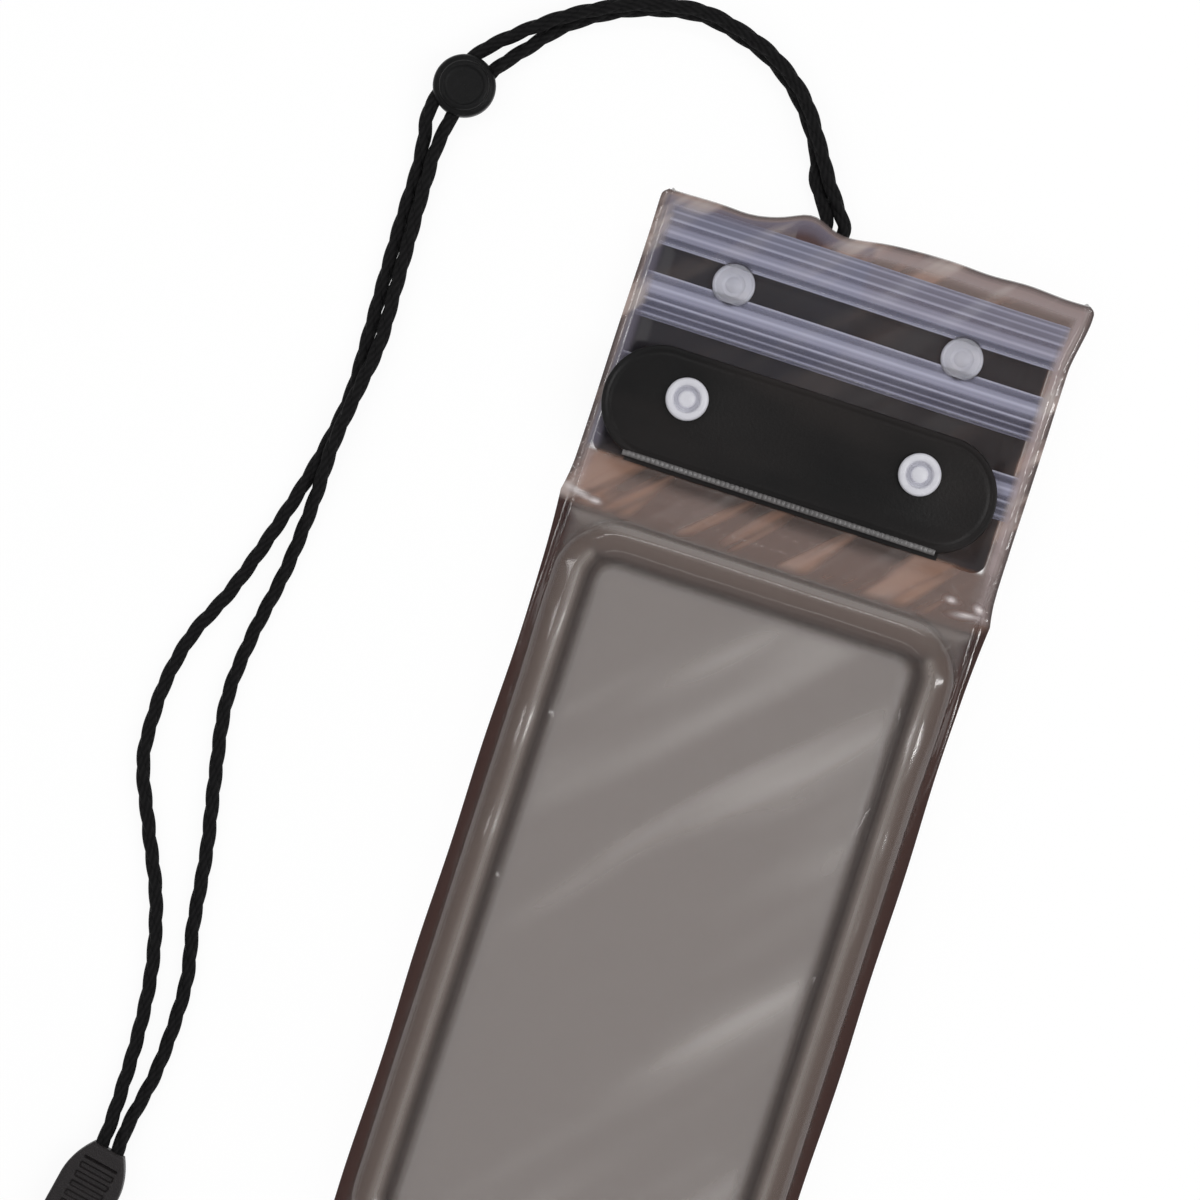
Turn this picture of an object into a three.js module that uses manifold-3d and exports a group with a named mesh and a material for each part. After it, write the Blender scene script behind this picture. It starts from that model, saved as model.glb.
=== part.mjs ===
// Waterproof pouch: a clear roll-top pouch with three press-to-close zips, a snap flap,
// an air cushion round its window and a doubled neck lanyard.
// Millimetres. X runs across the pouch, Y along it towards its mouth, and Z up out of its front.
// The pouch lies on its back, and the origin is under the middle of it, at the level it lies on.

import * as THREE from 'three';
import { mergeVertices } from 'three/addons/utils/BufferGeometryUtils.js';
import Module from 'manifold-3d';

// Films and the gap that loose or welded pieces keep
const FILM = 0.4;
const CLEAR = 0.3;
const SEAM_WIDTH = 2.3;

// Outline of the pouch
const POUCH_LENGTH = 240;
const POUCH_WIDTH = 94;
const SHOULDER_OUT = 0.8;
const SHOULDER_LENGTH = 16;
const BOTTOM_CORNER = 10;
const MOUTH_CORNER = 2;
const NECK_LENGTH = 69.8;
const NECK_SEAM = 1;
const NECK_RISE = 1;

// Air cushion round the window, and the pocket behind it
const CUSHION_WIDTH = 9;
const CUSHION_HEIGHT = 6.2;
const CUSHION_CORNER = 16;
const CUSHION_LAP = 1.5;
const POCKET_DEPTH = 8.5;
const FLOOR_EDGE = 6;
const CREST_STEPS = 4;
const FLOOR_STEPS = 3;

// Press-to-close zips, by the distance of each below the mouth
const ZIP_BELOW_MOUTH = [8.7, 24.6, 42.5];
const ZIP_BAND = 9.8;
const ZIP_BASE = 0.4;
const ZIP_RIB_OFFSET = 2.4;
const ZIP_STEM = 0.5;
const ZIP_HEAD = 1.3;
const ZIP_HEAD_TALL = 0.45;
const ZIP_LIP_TALL = 0.35;
const ZIP_WALL = 0.5;
const ZIP_BEAD = 0.4;

// Snap fasteners
const SNAP_CAP_WIDTH = 9.2;
const SNAP_CAP_THICK = 1;
const SNAP_PIN = 2;
const STUD_TALL = 3;
const STUD_HEAD = 5.2;
const STUD_NECK = 4.2;
const SOCKET_TALL = 2;
const SOCKET_WELL = 5.8;
const SOCKET_BOSS = 3.6;
const SNAP_SIDES = 20;

// Black strip on the back of the neck, and the black flap on its front
const STRIP_THICK = 0.8;
const STRIP_WIDTH = 88;
const STRIP_SHIFT = -0.8;
const STRIP_TOP_BELOW_MOUTH = 10;
const STRIP_BOTTOM_BELOW_MOUTH = 60;
const STRIP_CORNER = 3;
const STRIP_RIM = 2;
const STRIP_SNAP_BELOW_MOUTH = 17.15;
const STRIP_SNAP_SPACING = 51.2;
const FLAP_THICK = 0.8;
const FLAP_WIDTH = 87.2;
const FLAP_SHIFT = -2.4;
const FLAP_END_RADIUS = 12.6;
const FLAP_END_BELOW_MOUTH = 46.3;
const FLAP_CHORD_DROP = 11.9;
const FLAP_SNAP_RISE = 2.7;
const FLAP_SNAP_SPACING = 51.9;
const WELD_BAR_WIDTH = 1.5;
const WELD_RIB_PITCH = 1.6;
const WELD_RIB_TALL = 0.35;

// Anchor that holds both cord ends behind the mouth
const ANCHOR_X = -9.5;
const ANCHOR_WIDTH = 12;
const ANCHOR_TALL = 8.6;
const ANCHOR_FLANGE = 1.5;
const ANCHOR_FLANGE_THICK = 0.8;
const ANCHOR_CORNER = 1.5;
const ANCHOR_BORE_SPACING = 4;
const ANCHOR_BORE_DEPTH = 5;
const REST_GAP = 0.3;

// Lanyard cord and what is on it
const CORD_WIDTH = 2.5;
const CORD_SIDES = 8;
const CORD_STEP = 8;
const SLIDER_WIDTH = 13.5;
const SLIDER_TALL = 7.2;
const SLIDER_FACE = 10.7;
const SLIDER_GROOVE = 0.5;
const SLIDER_BORE_SPACING = 5;
const SLIDER_X = -94.2;
const SLIDER_Y = 125.6;
const SLIDER_TURN = THREE.MathUtils.degToRad(-25);
const CLIP_WIDTH = 13.6;
const CLIP_MOUTH_WIDTH = 8.6;
const CLIP_SHOULDER = 5.5;
const CLIP_LENGTH = 22;
const CLIP_TALL = 7;
const CLIP_END_CORNER = 4;
const CLIP_BEVEL = 0.8;
const CLIP_PANEL_WIDTH = 8;
const CLIP_PANEL_DEPTH = 0.6;
const CLIP_PANEL_MARGIN = 3.2;
const CLIP_RIB_COUNT = 7;
const CLIP_RIB_SHARE = 0.5;
const CLIP_BORE_SPACING = 3.6;
const CLIP_BORE_DEPTH = 8;
const CLIP_X = -96.1;
const CLIP_Y = -113.6;
const CLIP_TURN = THREE.MathUtils.degToRad(-11);

// Smooth parts of round outlines
const ARC_SIDES = 4;
const BORE_SIDES = 12;

// Points down the middle of each cord, from the anchor to the slider and from there to the clip
const OUTER_CORD_TO_SLIDER = [
  [-7.5, 120.4, 2.7], [-7.7, 121.8, 2.6], [-9.6, 124.6, 2.5], [-13.9, 130.4, 3.5],
  [-17.8, 136.4, 4.7], [-24.4, 145.5, 4.8], [-33, 151.8, 4.8], [-41.8, 155, 4.8],
  [-51.1, 156.4, 4.8], [-63.6, 153.8, 4.8], [-71.9, 150.1, 4.7], [-79.3, 145.6, 4.5],
  [-88.3, 138.4, 3.7], [-93.6, 132.9, 3.6],
];
const INNER_CORD_TO_SLIDER = [
  [-11.5, 120.4, 2.7], [-11.7, 121.8, 2.5], [-13, 124.6, 2], [-16.4, 129.3, 1.6],
  [-18.4, 135.4, 1.6], [-25, 144.6, 1.6], [-33.2, 151, 1.6], [-42, 154.2, 1.6],
  [-50.9, 155.6, 1.6], [-63.2, 152.9, 1.6], [-71.2, 149.1, 1.6], [-78.1, 144.1, 1.7],
  [-84.6, 136.6, 2.7], [-89, 130.9, 3.6],
];
const OUTER_CORD_TO_CLIP = [
  [-99.4, 120.6, 3.6], [-99.7, 116.8, 3.1], [-98.9, 112, 2.2], [-98.3, 106.3, 1.6],
  [-98.2, 99, 1.6], [-98.1, 92.2, 1.6], [-97.7, 80, 1.6], [-97.2, 67.7, 1.6], [-96.9, 56, 1.6],
  [-98.3, 44.8, 1.6], [-101.6, 30, 1.6], [-108.3, 7.9, 1.5], [-113.4, -4, 1.5],
  [-115.6, -14.6, 1.5], [-115.9, -23, 1.5], [-115, -32.5, 1.5], [-109.4, -46, 1.5],
  [-103.3, -59.8, 1.5], [-99.5, -74.3, 1.5], [-97.9, -89, 1.5], [-97.6, -101, 1.8],
  [-97.6, -108, 3], [-97.9, -113.3, 3.5],
];
const INNER_CORD_TO_CLIP = [
  [-94.7, 118.7, 3.6], [-95.4, 114.5, 3.4], [-95.9, 110, 3.3], [-95.8, 106.3, 3.3],
  [-95.6, 99, 3.3], [-95.3, 92.2, 3.3], [-94.8, 80, 3.3], [-94.4, 67.7, 3.4], [-95.8, 56, 4.7],
  [-97.1, 44.8, 4.6], [-97.4, 31, 2.4], [-98.6, 15.5, 1.5], [-101.2, -1, 1.5],
  [-102, -14.7, 1.5], [-99.2, -31.7, 1.5], [-96.2, -46.4, 1.5], [-93.8, -63.6, 1.5],
  [-91.7, -74, 1.5], [-91.3, -85.1, 1.5], [-91.9, -96, 1.6], [-93.3, -104, 2.4],
  [-94.1, -109, 3.2], [-94.3, -113.3, 3.5],
];

// Levels of the stack, worked out from the lowest up
const MOUTH_Y = POUCH_LENGTH / 2;
const BOTTOM_Y = -POUCH_LENGTH / 2;
const NECK_Y = MOUTH_Y - NECK_LENGTH;
const HALF_WIDTH = POUCH_WIDTH / 2;
const STRIP_BASE_Z = STUD_TALL + CLEAR;
const STRIP_CAP_Z = STRIP_BASE_Z + STRIP_THICK + CLEAR;
const BACK_NECK_TOP_Z = STRIP_CAP_Z + SNAP_CAP_THICK + CLEAR + FILM;
const GROOVE_BASE_Z = BACK_NECK_TOP_Z + CLEAR;
const ZIP_LOCK = 2 * CLEAR + ZIP_HEAD_TALL + ZIP_LIP_TALL + CLEAR;
const RIB_BASE_Z = GROOVE_BASE_Z + ZIP_BASE + ZIP_LOCK;
const FRONT_NECK_TOP_Z = RIB_BASE_Z + ZIP_BASE + CLEAR + FILM;
const SEAM_MIDDLE_Z = (BACK_NECK_TOP_Z + FRONT_NECK_TOP_Z - FILM) / 2;
const BACK_SEAM_TOP_Z = SEAM_MIDDLE_Z - CLEAR / 2;
const FRONT_SEAM_TOP_Z = SEAM_MIDDLE_Z + CLEAR / 2 + FILM;
const LINER_BASE_Z = FILM + POCKET_DEPTH;
const WINDOW_TOP_Z = LINER_BASE_Z + FILM + CLEAR + FILM;
const CREST_Z = FRONT_SEAM_TOP_Z + CUSHION_HEIGHT;
const FLAP_CAP_Z = FRONT_NECK_TOP_Z + CLEAR;
const FLAP_BASE_Z = FLAP_CAP_Z + SNAP_CAP_THICK + CLEAR;
const SOCKET_Z = FLAP_BASE_Z + FLAP_THICK + CLEAR;
const CORNER_REACH = Math.max(CUSHION_CORNER, SEAM_WIDTH + CUSHION_WIDTH + 2 * CLEAR);
const CORNER_LINES = [CORNER_REACH, CORNER_REACH + CLEAR * 4];
const PIN_HOLE = SNAP_PIN + 2 * CLEAR;
const CORD_BORE = CORD_WIDTH + 2 * CLEAR;

const wasm = await Module();
wasm.setup();

// Geometry helpers

/** Merges the corners of a geometry, drops collapsed faces and turns the rest to face out. */
function closed(geometry) {
  const bare = new THREE.BufferGeometry();
  bare.setAttribute('position', geometry.getAttribute('position').clone());
  bare.setIndex(geometry.index);
  const merged = mergeVertices(bare, 1e-4);
  const position = merged.getAttribute('position');
  const corner = (i) => new THREE.Vector3().fromBufferAttribute(position, i);
  const faces = [];
  let volume = 0;
  for (let i = 0; i < merged.index.count; i += 3) {
    const [a, b, c] = [0, 1, 2].map((k) => merged.index.getX(i + k));
    if (a !== b && b !== c && c !== a) {
      faces.push([a, b, c]);
      volume += corner(a).dot(corner(b).cross(corner(c)));
    }
  }
  merged.setIndex(faces.flatMap(([a, b, c]) => (volume > 0 ? [a, b, c] : [a, c, b])));
  return merged;
}

function toSolid(geometry) {
  const mesh = closed(geometry);
  return new wasm.Manifold(new wasm.Mesh({
    numProp: 3,
    vertProperties: new Float32Array(mesh.getAttribute('position').array),
    triVerts: new Uint32Array(mesh.index.array),
  }));
}

function toGeometry(solid) {
  const mesh = solid.getMesh();
  const geometry = new THREE.BufferGeometry();
  geometry.setAttribute('position', new THREE.BufferAttribute(new Float32Array(mesh.vertProperties), 3));
  geometry.setIndex(new THREE.BufferAttribute(new Uint32Array(mesh.triVerts), 1));
  return geometry;
}

const join = (first, ...others) => toGeometry(others.reduce((a, b) => a.add(toSolid(b)), toSolid(first)));
const cut = (first, ...others) => toGeometry(others.reduce((a, b) => a.subtract(toSolid(b)), toSolid(first)));
const common = (a, b) => toGeometry(toSolid(a).intersect(toSolid(b)));

/** A flat piece: the shape in X and Y, from z = base up by tall. */
function plate(shape, base, tall) {
  const geometry = new THREE.ExtrudeGeometry(shape, {
    depth: tall, bevelEnabled: false, curveSegments: ARC_SIDES,
  });
  return geometry.translate(0, 0, base);
}

/** A round piece about Z, from a closed outline of [radius, height] points. */
function turned(outline, sides) {
  const points = outline.map(([radius, height]) => new THREE.Vector2(radius, height));
  return new THREE.LatheGeometry(points, sides).rotateX(Math.PI / 2);
}

/** A round bore along Y, whose far end is at y = end. */
function boreAlongY(x, z, width, end, depth) {
  const bore = new THREE.CylinderGeometry(width / 2, width / 2, depth, BORE_SIDES);
  return bore.translate(x, end - depth / 2, z);
}

function roundedRectangle(x0, y0, x1, y1, corner) {
  const shape = new THREE.Shape();
  shape.moveTo(x0 + corner, y0);
  shape.absarc(x1 - corner, y0 + corner, corner, -Math.PI / 2, 0);
  shape.absarc(x1 - corner, y1 - corner, corner, 0, Math.PI / 2);
  shape.absarc(x0 + corner, y1 - corner, corner, Math.PI / 2, Math.PI);
  shape.absarc(x0 + corner, y0 + corner, corner, Math.PI, 1.5 * Math.PI);
  return shape;
}

function circle(x, y, radius) {
  const path = new THREE.Path();
  path.absarc(x, y, radius, 0, 2 * Math.PI);
  return path;
}

function ellipseRise(share) {
  const left = 1 - THREE.MathUtils.clamp(share, 0, 1);
  return Math.sqrt(1 - left * left);
}

// Pouch films

/** How far a point lies inside the cushion's outline, which has large round corners. */
function depthInBody(x, y) {
  const middleY = (NECK_Y + BOTTOM_Y) / 2;
  const fromCornerX = Math.abs(x) - (HALF_WIDTH - CUSHION_CORNER);
  const fromCornerY = Math.abs(y - middleY) - ((NECK_Y - BOTTOM_Y) / 2 - CUSHION_CORNER);
  const past = Math.hypot(Math.max(fromCornerX, 0), Math.max(fromCornerY, 0));
  return CUSHION_CORNER - past - Math.min(Math.max(fromCornerX, fromCornerY), 0);
}

/** A film's level outside the pocket: at the seam along the edges, and at its own level in the neck. */
function rimLevel(x, y, seam, neck) {
  const fromSeam = (HALF_WIDTH - Math.abs(x) - NECK_SEAM) / NECK_RISE;
  const towardsNeck = (y - (NECK_Y - 2.5 * CUSHION_CORNER)) / CUSHION_CORNER;
  const share = THREE.MathUtils.smoothstep(fromSeam, 0, 1) * THREE.MathUtils.smoothstep(towardsNeck, 0, 1);
  return THREE.MathUtils.lerp(seam, neck, share);
}

function frontLevel(x, y) {
  const rim = rimLevel(x, y, FRONT_SEAM_TOP_Z, FRONT_NECK_TOP_Z);
  const halfCushion = CUSHION_WIDTH / 2;
  const across = depthInBody(x, y) - SEAM_WIDTH;
  if (across <= halfCushion) {
    return THREE.MathUtils.lerp(rim, CREST_Z, ellipseRise(across / halfCushion));
  }
  const inner = ellipseRise((CUSHION_WIDTH - across) / halfCushion);
  return THREE.MathUtils.lerp(WINDOW_TOP_Z, CREST_Z, inner);
}

function backLevel(x, y) {
  const rim = rimLevel(x, y, BACK_SEAM_TOP_Z, BACK_NECK_TOP_Z);
  const across = depthInBody(x, y) - SEAM_WIDTH;
  return THREE.MathUtils.lerp(rim, FILM, ellipseRise(across / FLOOR_EDGE));
}

/** Distances in from the edge, closer together where an elliptic slope of that width is steep. */
function steepFirst(start, width, count) {
  const steps = Array.from({ length: count + 1 }, (_, i) => i / count);
  return steps.map((step) => start + width * (1 - Math.cos((step * Math.PI) / 2)));
}

/** The same distances the other way round, closer together towards the end. */
function steepLast(start, width, count) {
  return steepFirst(0, width, count).map((step) => start + width - step).reverse();
}

/** Grid lines between low and high, with the given insets at both ends. */
function gridLines(low, high, insets) {
  return [...insets.map((inset) => low + inset), ...insets.map((inset) => high - inset).reverse()];
}

/** A film of even thickness, whose upper side follows levelAt over a grid of lines. */
function bentFilm(columns, rows, levelAt) {
  const geometry = new THREE.BoxGeometry(1, 1, 1, columns.length - 1, rows.length - 1, 1);
  const position = geometry.getAttribute('position');
  const nudge = 0.02;
  for (let i = 0; i < position.count; i += 1) {
    const x = columns[Math.round((position.getX(i) + 0.5) * (columns.length - 1))];
    const y = rows[Math.round((position.getY(i) + 0.5) * (rows.length - 1))];
    const point = new THREE.Vector3(x, y, levelAt(x, y));
    if (position.getZ(i) < 0) {
      const slopeX = (levelAt(x + nudge, y) - levelAt(x - nudge, y)) / (2 * nudge);
      const slopeY = (levelAt(x, y + nudge) - levelAt(x, y - nudge)) / (2 * nudge);
      point.addScaledVector(new THREE.Vector3(-slopeX, -slopeY, 1).normalize(), -FILM);
    }
    position.setXYZ(i, point.x, point.y, point.z);
  }
  return geometry;
}

/** The die-cut outline of both films. */
function pouchOutline() {
  const half = HALF_WIDTH;
  const shoulder = half + SHOULDER_OUT;
  const shape = new THREE.Shape();
  shape.moveTo(-half + BOTTOM_CORNER, BOTTOM_Y);
  shape.absarc(half - BOTTOM_CORNER, BOTTOM_Y + BOTTOM_CORNER, BOTTOM_CORNER, -Math.PI / 2, 0);
  shape.lineTo(half, NECK_Y - SHOULDER_LENGTH);
  shape.quadraticCurveTo(half, NECK_Y - SHOULDER_LENGTH / 2, shoulder, NECK_Y);
  shape.quadraticCurveTo(half, NECK_Y, half, NECK_Y + SHOULDER_LENGTH / 2);
  shape.absarc(half - MOUTH_CORNER, MOUTH_Y - MOUTH_CORNER, MOUTH_CORNER, 0, Math.PI / 2);
  shape.absarc(-half + MOUTH_CORNER, MOUTH_Y - MOUTH_CORNER, MOUTH_CORNER, Math.PI / 2, Math.PI);
  shape.lineTo(-half, NECK_Y + SHOULDER_LENGTH / 2);
  shape.quadraticCurveTo(-half, NECK_Y, -shoulder, NECK_Y);
  shape.quadraticCurveTo(-half, NECK_Y - SHOULDER_LENGTH / 2, -half, NECK_Y - SHOULDER_LENGTH);
  shape.absarc(-half + BOTTOM_CORNER, BOTTOM_Y + BOTTOM_CORNER, BOTTOM_CORNER, Math.PI, 1.5 * Math.PI);
  return shape;
}

/** A bent film trimmed to the pouch's outline; insets are where its slope across the edge bends. */
function pouchFilm(insets, levelAt) {
  const margin = 2 * SHOULDER_OUT;
  const seamLines = [-margin, 0, NECK_SEAM, NECK_SEAM + NECK_RISE];
  const columns = gridLines(-HALF_WIDTH, HALF_WIDTH, [...seamLines, ...insets]);
  const rows = [
    BOTTOM_Y - margin, ...gridLines(BOTTOM_Y, NECK_Y, insets), (NECK_Y + MOUTH_Y) / 2, MOUTH_Y + margin,
  ];
  const block = plate(pouchOutline(), -CREST_Z, 3 * CREST_Z);
  return common(bentFilm(columns, rows, levelAt), block);
}

function frontFilm() {
  const half = CUSHION_WIDTH / 2;
  const rise = steepFirst(SEAM_WIDTH, half, CREST_STEPS);
  const fall = steepLast(SEAM_WIDTH + half, half, CREST_STEPS);
  return pouchFilm([...rise, ...fall.slice(1), ...CORNER_LINES], frontLevel);
}

function backFilm() {
  return pouchFilm([...steepFirst(SEAM_WIDTH, FLOOR_EDGE, FLOOR_STEPS), ...CORNER_LINES], backLevel);
}

/** The flat inner film that closes the air cushion towards the pocket. */
function cushionLiner() {
  const outer = SEAM_WIDTH + FILM + 3 * CLEAR;
  const inner = SEAM_WIDTH + CUSHION_WIDTH + CUSHION_LAP;
  const ring = (inset) => roundedRectangle(
    -HALF_WIDTH + inset, BOTTOM_Y + inset, HALF_WIDTH - inset, NECK_Y - inset, CUSHION_CORNER - inset);
  const shape = ring(outer);
  shape.holes.push(ring(inner));
  return plate(shape, LINER_BASE_Z, FILM);
}

// Zip profiles

/** Extrudes a section of [y, z] points along the zip, centred on X. */
function alongZip(section) {
  const length = 2 * (HALF_WIDTH - NECK_SEAM - NECK_RISE - CLEAR);
  const shape = new THREE.Shape(section.map(([y, z]) => new THREE.Vector2(y, z)));
  const geometry = new THREE.ExtrudeGeometry(shape, { depth: length, bevelEnabled: false });
  const toX = new THREE.Matrix4().makeBasis(
    new THREE.Vector3(0, 1, 0), new THREE.Vector3(0, 0, 1), new THREE.Vector3(1, 0, 0));
  return geometry.applyMatrix4(toX).translate(-length / 2, 0, 0);
}

/** The upper half: a base with two arrow-headed ribs that point down, and a bead along each edge. */
function zipRibHalf() {
  const half = ZIP_BAND / 2;
  const tip = -ZIP_LOCK + CLEAR;
  const arrow = (middle) => [
    [middle - ZIP_STEM / 2, 0],
    [middle - ZIP_STEM / 2, tip + ZIP_HEAD_TALL],
    [middle - ZIP_HEAD / 2, tip + ZIP_HEAD_TALL],
    [middle - ZIP_STEM / 2, tip],
    [middle + ZIP_STEM / 2, tip],
    [middle + ZIP_HEAD / 2, tip + ZIP_HEAD_TALL],
    [middle + ZIP_STEM / 2, tip + ZIP_HEAD_TALL],
    [middle + ZIP_STEM / 2, 0],
  ];
  return alongZip([
    [-half, ZIP_BASE], [-half, -ZIP_BEAD], [-half + ZIP_BEAD, -ZIP_BEAD], [-half + ZIP_BEAD, 0],
    ...arrow(-ZIP_RIB_OFFSET),
    ...arrow(ZIP_RIB_OFFSET),
    [half - ZIP_BEAD, 0], [half - ZIP_BEAD, -ZIP_BEAD], [half, -ZIP_BEAD], [half, ZIP_BASE],
  ]);
}

/** The lower half: a base with two hooked grooves, which the arrow heads seat in. */
function zipGrooveHalf() {
  const half = ZIP_BAND / 2;
  const lipTop = ZIP_LOCK - CLEAR;
  const lipUnder = lipTop - ZIP_LIP_TALL;
  const inside = ZIP_HEAD / 2 + CLEAR;
  const mouth = ZIP_STEM / 2 + CLEAR;
  const groove = (middle) => [
    [middle - inside - ZIP_WALL, 0],
    [middle - inside - ZIP_WALL, lipTop],
    [middle - mouth, lipTop],
    [middle - mouth, lipUnder],
    [middle - inside, lipUnder],
    [middle - inside, 0],
    [middle + inside, 0],
    [middle + inside, lipUnder],
    [middle + mouth, lipUnder],
    [middle + mouth, lipTop],
    [middle + inside + ZIP_WALL, lipTop],
    [middle + inside + ZIP_WALL, 0],
  ];
  return alongZip([
    [-half, -ZIP_BASE], [-half, ZIP_BEAD], [-half + ZIP_BEAD, ZIP_BEAD], [-half + ZIP_BEAD, 0],
    ...groove(-ZIP_RIB_OFFSET),
    ...groove(ZIP_RIB_OFFSET),
    [half - ZIP_BEAD, 0], [half - ZIP_BEAD, ZIP_BEAD], [half, ZIP_BEAD], [half, -ZIP_BASE],
  ].reverse());
}

// Snap fasteners, each with its mating face at z = 0

/** The cap: a low dome whose pin goes through the sheet and into the stud or socket. */
function snapCap(pinLength) {
  const radius = SNAP_CAP_WIDTH / 2;
  return turned([
    [0, 0], [radius - CLEAR, 0], [radius, SNAP_CAP_THICK / 3], [radius, SNAP_CAP_THICK / 2],
    [radius * 0.8, SNAP_CAP_THICK], [SNAP_PIN / 2, SNAP_CAP_THICK],
    [SNAP_PIN / 2, SNAP_CAP_THICK + pinLength], [0, SNAP_CAP_THICK + pinLength],
  ], SNAP_SIDES);
}

function snapStud() {
  const flange = STUD_TALL / 4;
  return turned([
    [PIN_HOLE / 2, 0], [SNAP_CAP_WIDTH / 2, 0], [SNAP_CAP_WIDTH / 2, flange], [STUD_NECK / 2, flange],
    [STUD_NECK / 2, STUD_TALL / 2], [STUD_HEAD / 2, STUD_TALL * 0.7], [STUD_HEAD / 2, STUD_TALL * 0.85],
    [STUD_NECK / 2, STUD_TALL], [PIN_HOLE / 2, STUD_TALL], [PIN_HOLE / 2, 0],
  ], SNAP_SIDES);
}

function snapSocket() {
  const floor = SOCKET_TALL / 4;
  const rim = SNAP_CAP_WIDTH / 2;
  const lip = SOCKET_TALL * 0.8;
  return turned([
    [PIN_HOLE / 2, 0], [rim, 0], [rim, lip], [rim - CLEAR, SOCKET_TALL],
    [SOCKET_WELL / 2 + CLEAR, SOCKET_TALL], [SOCKET_WELL / 2, lip], [SOCKET_WELL / 2 + CLEAR, floor],
    [SOCKET_BOSS / 2, floor], [SOCKET_BOSS / 2, SOCKET_TALL / 2], [PIN_HOLE / 2, SOCKET_TALL / 2],
    [PIN_HOLE / 2, 0],
  ], SNAP_SIDES);
}

// Black strip and flap

const stripSnapX = (side) => STRIP_SHIFT + (side * STRIP_SNAP_SPACING) / 2;
const flapSnapX = (side) => FLAP_SHIFT + (side * FLAP_SNAP_SPACING) / 2;
const STRIP_SNAP_Y = MOUTH_Y - STRIP_SNAP_BELOW_MOUTH;
const FLAP_END_Y = MOUTH_Y - FLAP_END_BELOW_MOUTH;
const FLAP_SNAP_Y = FLAP_END_Y + FLAP_SNAP_RISE;
const SIDES = { left: -1, right: 1 };

/** The strip: a thin plate bowed away from the film over the caps, with a raised rim welded to it. */
function backStrip() {
  const half = STRIP_WIDTH / 2;
  const top = MOUTH_Y - STRIP_TOP_BELOW_MOUTH;
  const bottom = MOUTH_Y - STRIP_BOTTOM_BELOW_MOUTH;
  const [left, right] = [STRIP_SHIFT - half, STRIP_SHIFT + half];
  const outline = (inset) => roundedRectangle(
    left + inset, bottom + inset, right - inset, top - inset, STRIP_CORNER - inset);
  const face = outline(0);
  Object.values(SIDES).forEach((side) => {
    face.holes.push(circle(stripSnapX(side), STRIP_SNAP_Y, PIN_HOLE / 2));
  });
  const frame = outline(0);
  frame.holes.push(outline(STRIP_RIM));
  const rimTall = STRIP_THICK + CLEAR + SNAP_CAP_THICK;
  return join(plate(face, STRIP_BASE_Z, STRIP_THICK), plate(frame, STRIP_BASE_Z, rimTall));
}

/** The flap's outline: two round ends, cut straight along the weld at its lower edge. */
function flapOutline() {
  const ends = FLAP_WIDTH / 2 - FLAP_END_RADIUS;
  const chord = Math.asin(-FLAP_CHORD_DROP / FLAP_END_RADIUS);
  const shape = new THREE.Shape();
  shape.absarc(FLAP_SHIFT + ends, FLAP_END_Y, FLAP_END_RADIUS, chord, Math.PI / 2);
  shape.absarc(FLAP_SHIFT - ends, FLAP_END_Y, FLAP_END_RADIUS, Math.PI / 2, Math.PI - chord);
  Object.values(SIDES).forEach((side) => {
    shape.holes.push(circle(flapSnapX(side), FLAP_SNAP_Y, PIN_HOLE / 2));
  });
  return shape;
}

/** The ribbed bar that the welding tool leaves along the flap's lower edge, down to the film. */
function weldBar() {
  const ends = FLAP_WIDTH / 2 - FLAP_END_RADIUS;
  const half = ends + Math.sqrt(FLAP_END_RADIUS ** 2 - FLAP_CHORD_DROP ** 2);
  const count = Math.floor((2 * half) / WELD_RIB_PITCH);
  const pitch = (2 * half) / count;
  const top = FLAP_BASE_Z + FLAP_THICK;
  const section = new THREE.Shape();
  section.moveTo(FLAP_SHIFT - half, FLAP_CAP_Z);
  section.lineTo(FLAP_SHIFT + half, FLAP_CAP_Z);
  for (let i = count; i > 0; i -= 1) {
    const x = FLAP_SHIFT - half + i * pitch;
    section.lineTo(x, top);
    section.lineTo(x - pitch / 2, top + WELD_RIB_TALL);
  }
  section.lineTo(FLAP_SHIFT - half, top);
  const geometry = new THREE.ExtrudeGeometry(section, { depth: WELD_BAR_WIDTH, bevelEnabled: false });
  const chordY = FLAP_END_Y - FLAP_CHORD_DROP;
  return geometry.rotateX(Math.PI / 2).translate(0, chordY + WELD_BAR_WIDTH, 0);
}

function snapFlap() {
  return join(plate(flapOutline(), FLAP_BASE_Z, FLAP_THICK), weldBar());
}

// Lanyard

/** The anchor: a block with a welded flange against the back film, and a blind bore for each cord. */
function lanyardAnchor() {
  const top = MOUTH_Y - CLEAR / 2;
  const bottom = top - ANCHOR_TALL;
  const half = ANCHOR_WIDTH / 2;
  const flangeTop = BACK_NECK_TOP_Z - FILM - CLEAR;
  const flangeBase = flangeTop - ANCHOR_FLANGE_THICK;
  const outline = (grow) => roundedRectangle(
    ANCHOR_X - half - grow, bottom, ANCHOR_X + half + grow, top, ANCHOR_CORNER);
  const block = join(
    plate(outline(0), REST_GAP, flangeTop - REST_GAP),
    plate(outline(ANCHOR_FLANGE), flangeBase, ANCHOR_FLANGE_THICK),
  );
  const boreZ = (REST_GAP + flangeTop) / 2;
  const bores = Object.values(SIDES).map((side) => boreAlongY(
    ANCHOR_X + (side * ANCHOR_BORE_SPACING) / 2, boreZ, CORD_BORE, top + CLEAR, ANCHOR_BORE_DEPTH));
  return cut(block, ...bores);
}

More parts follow.
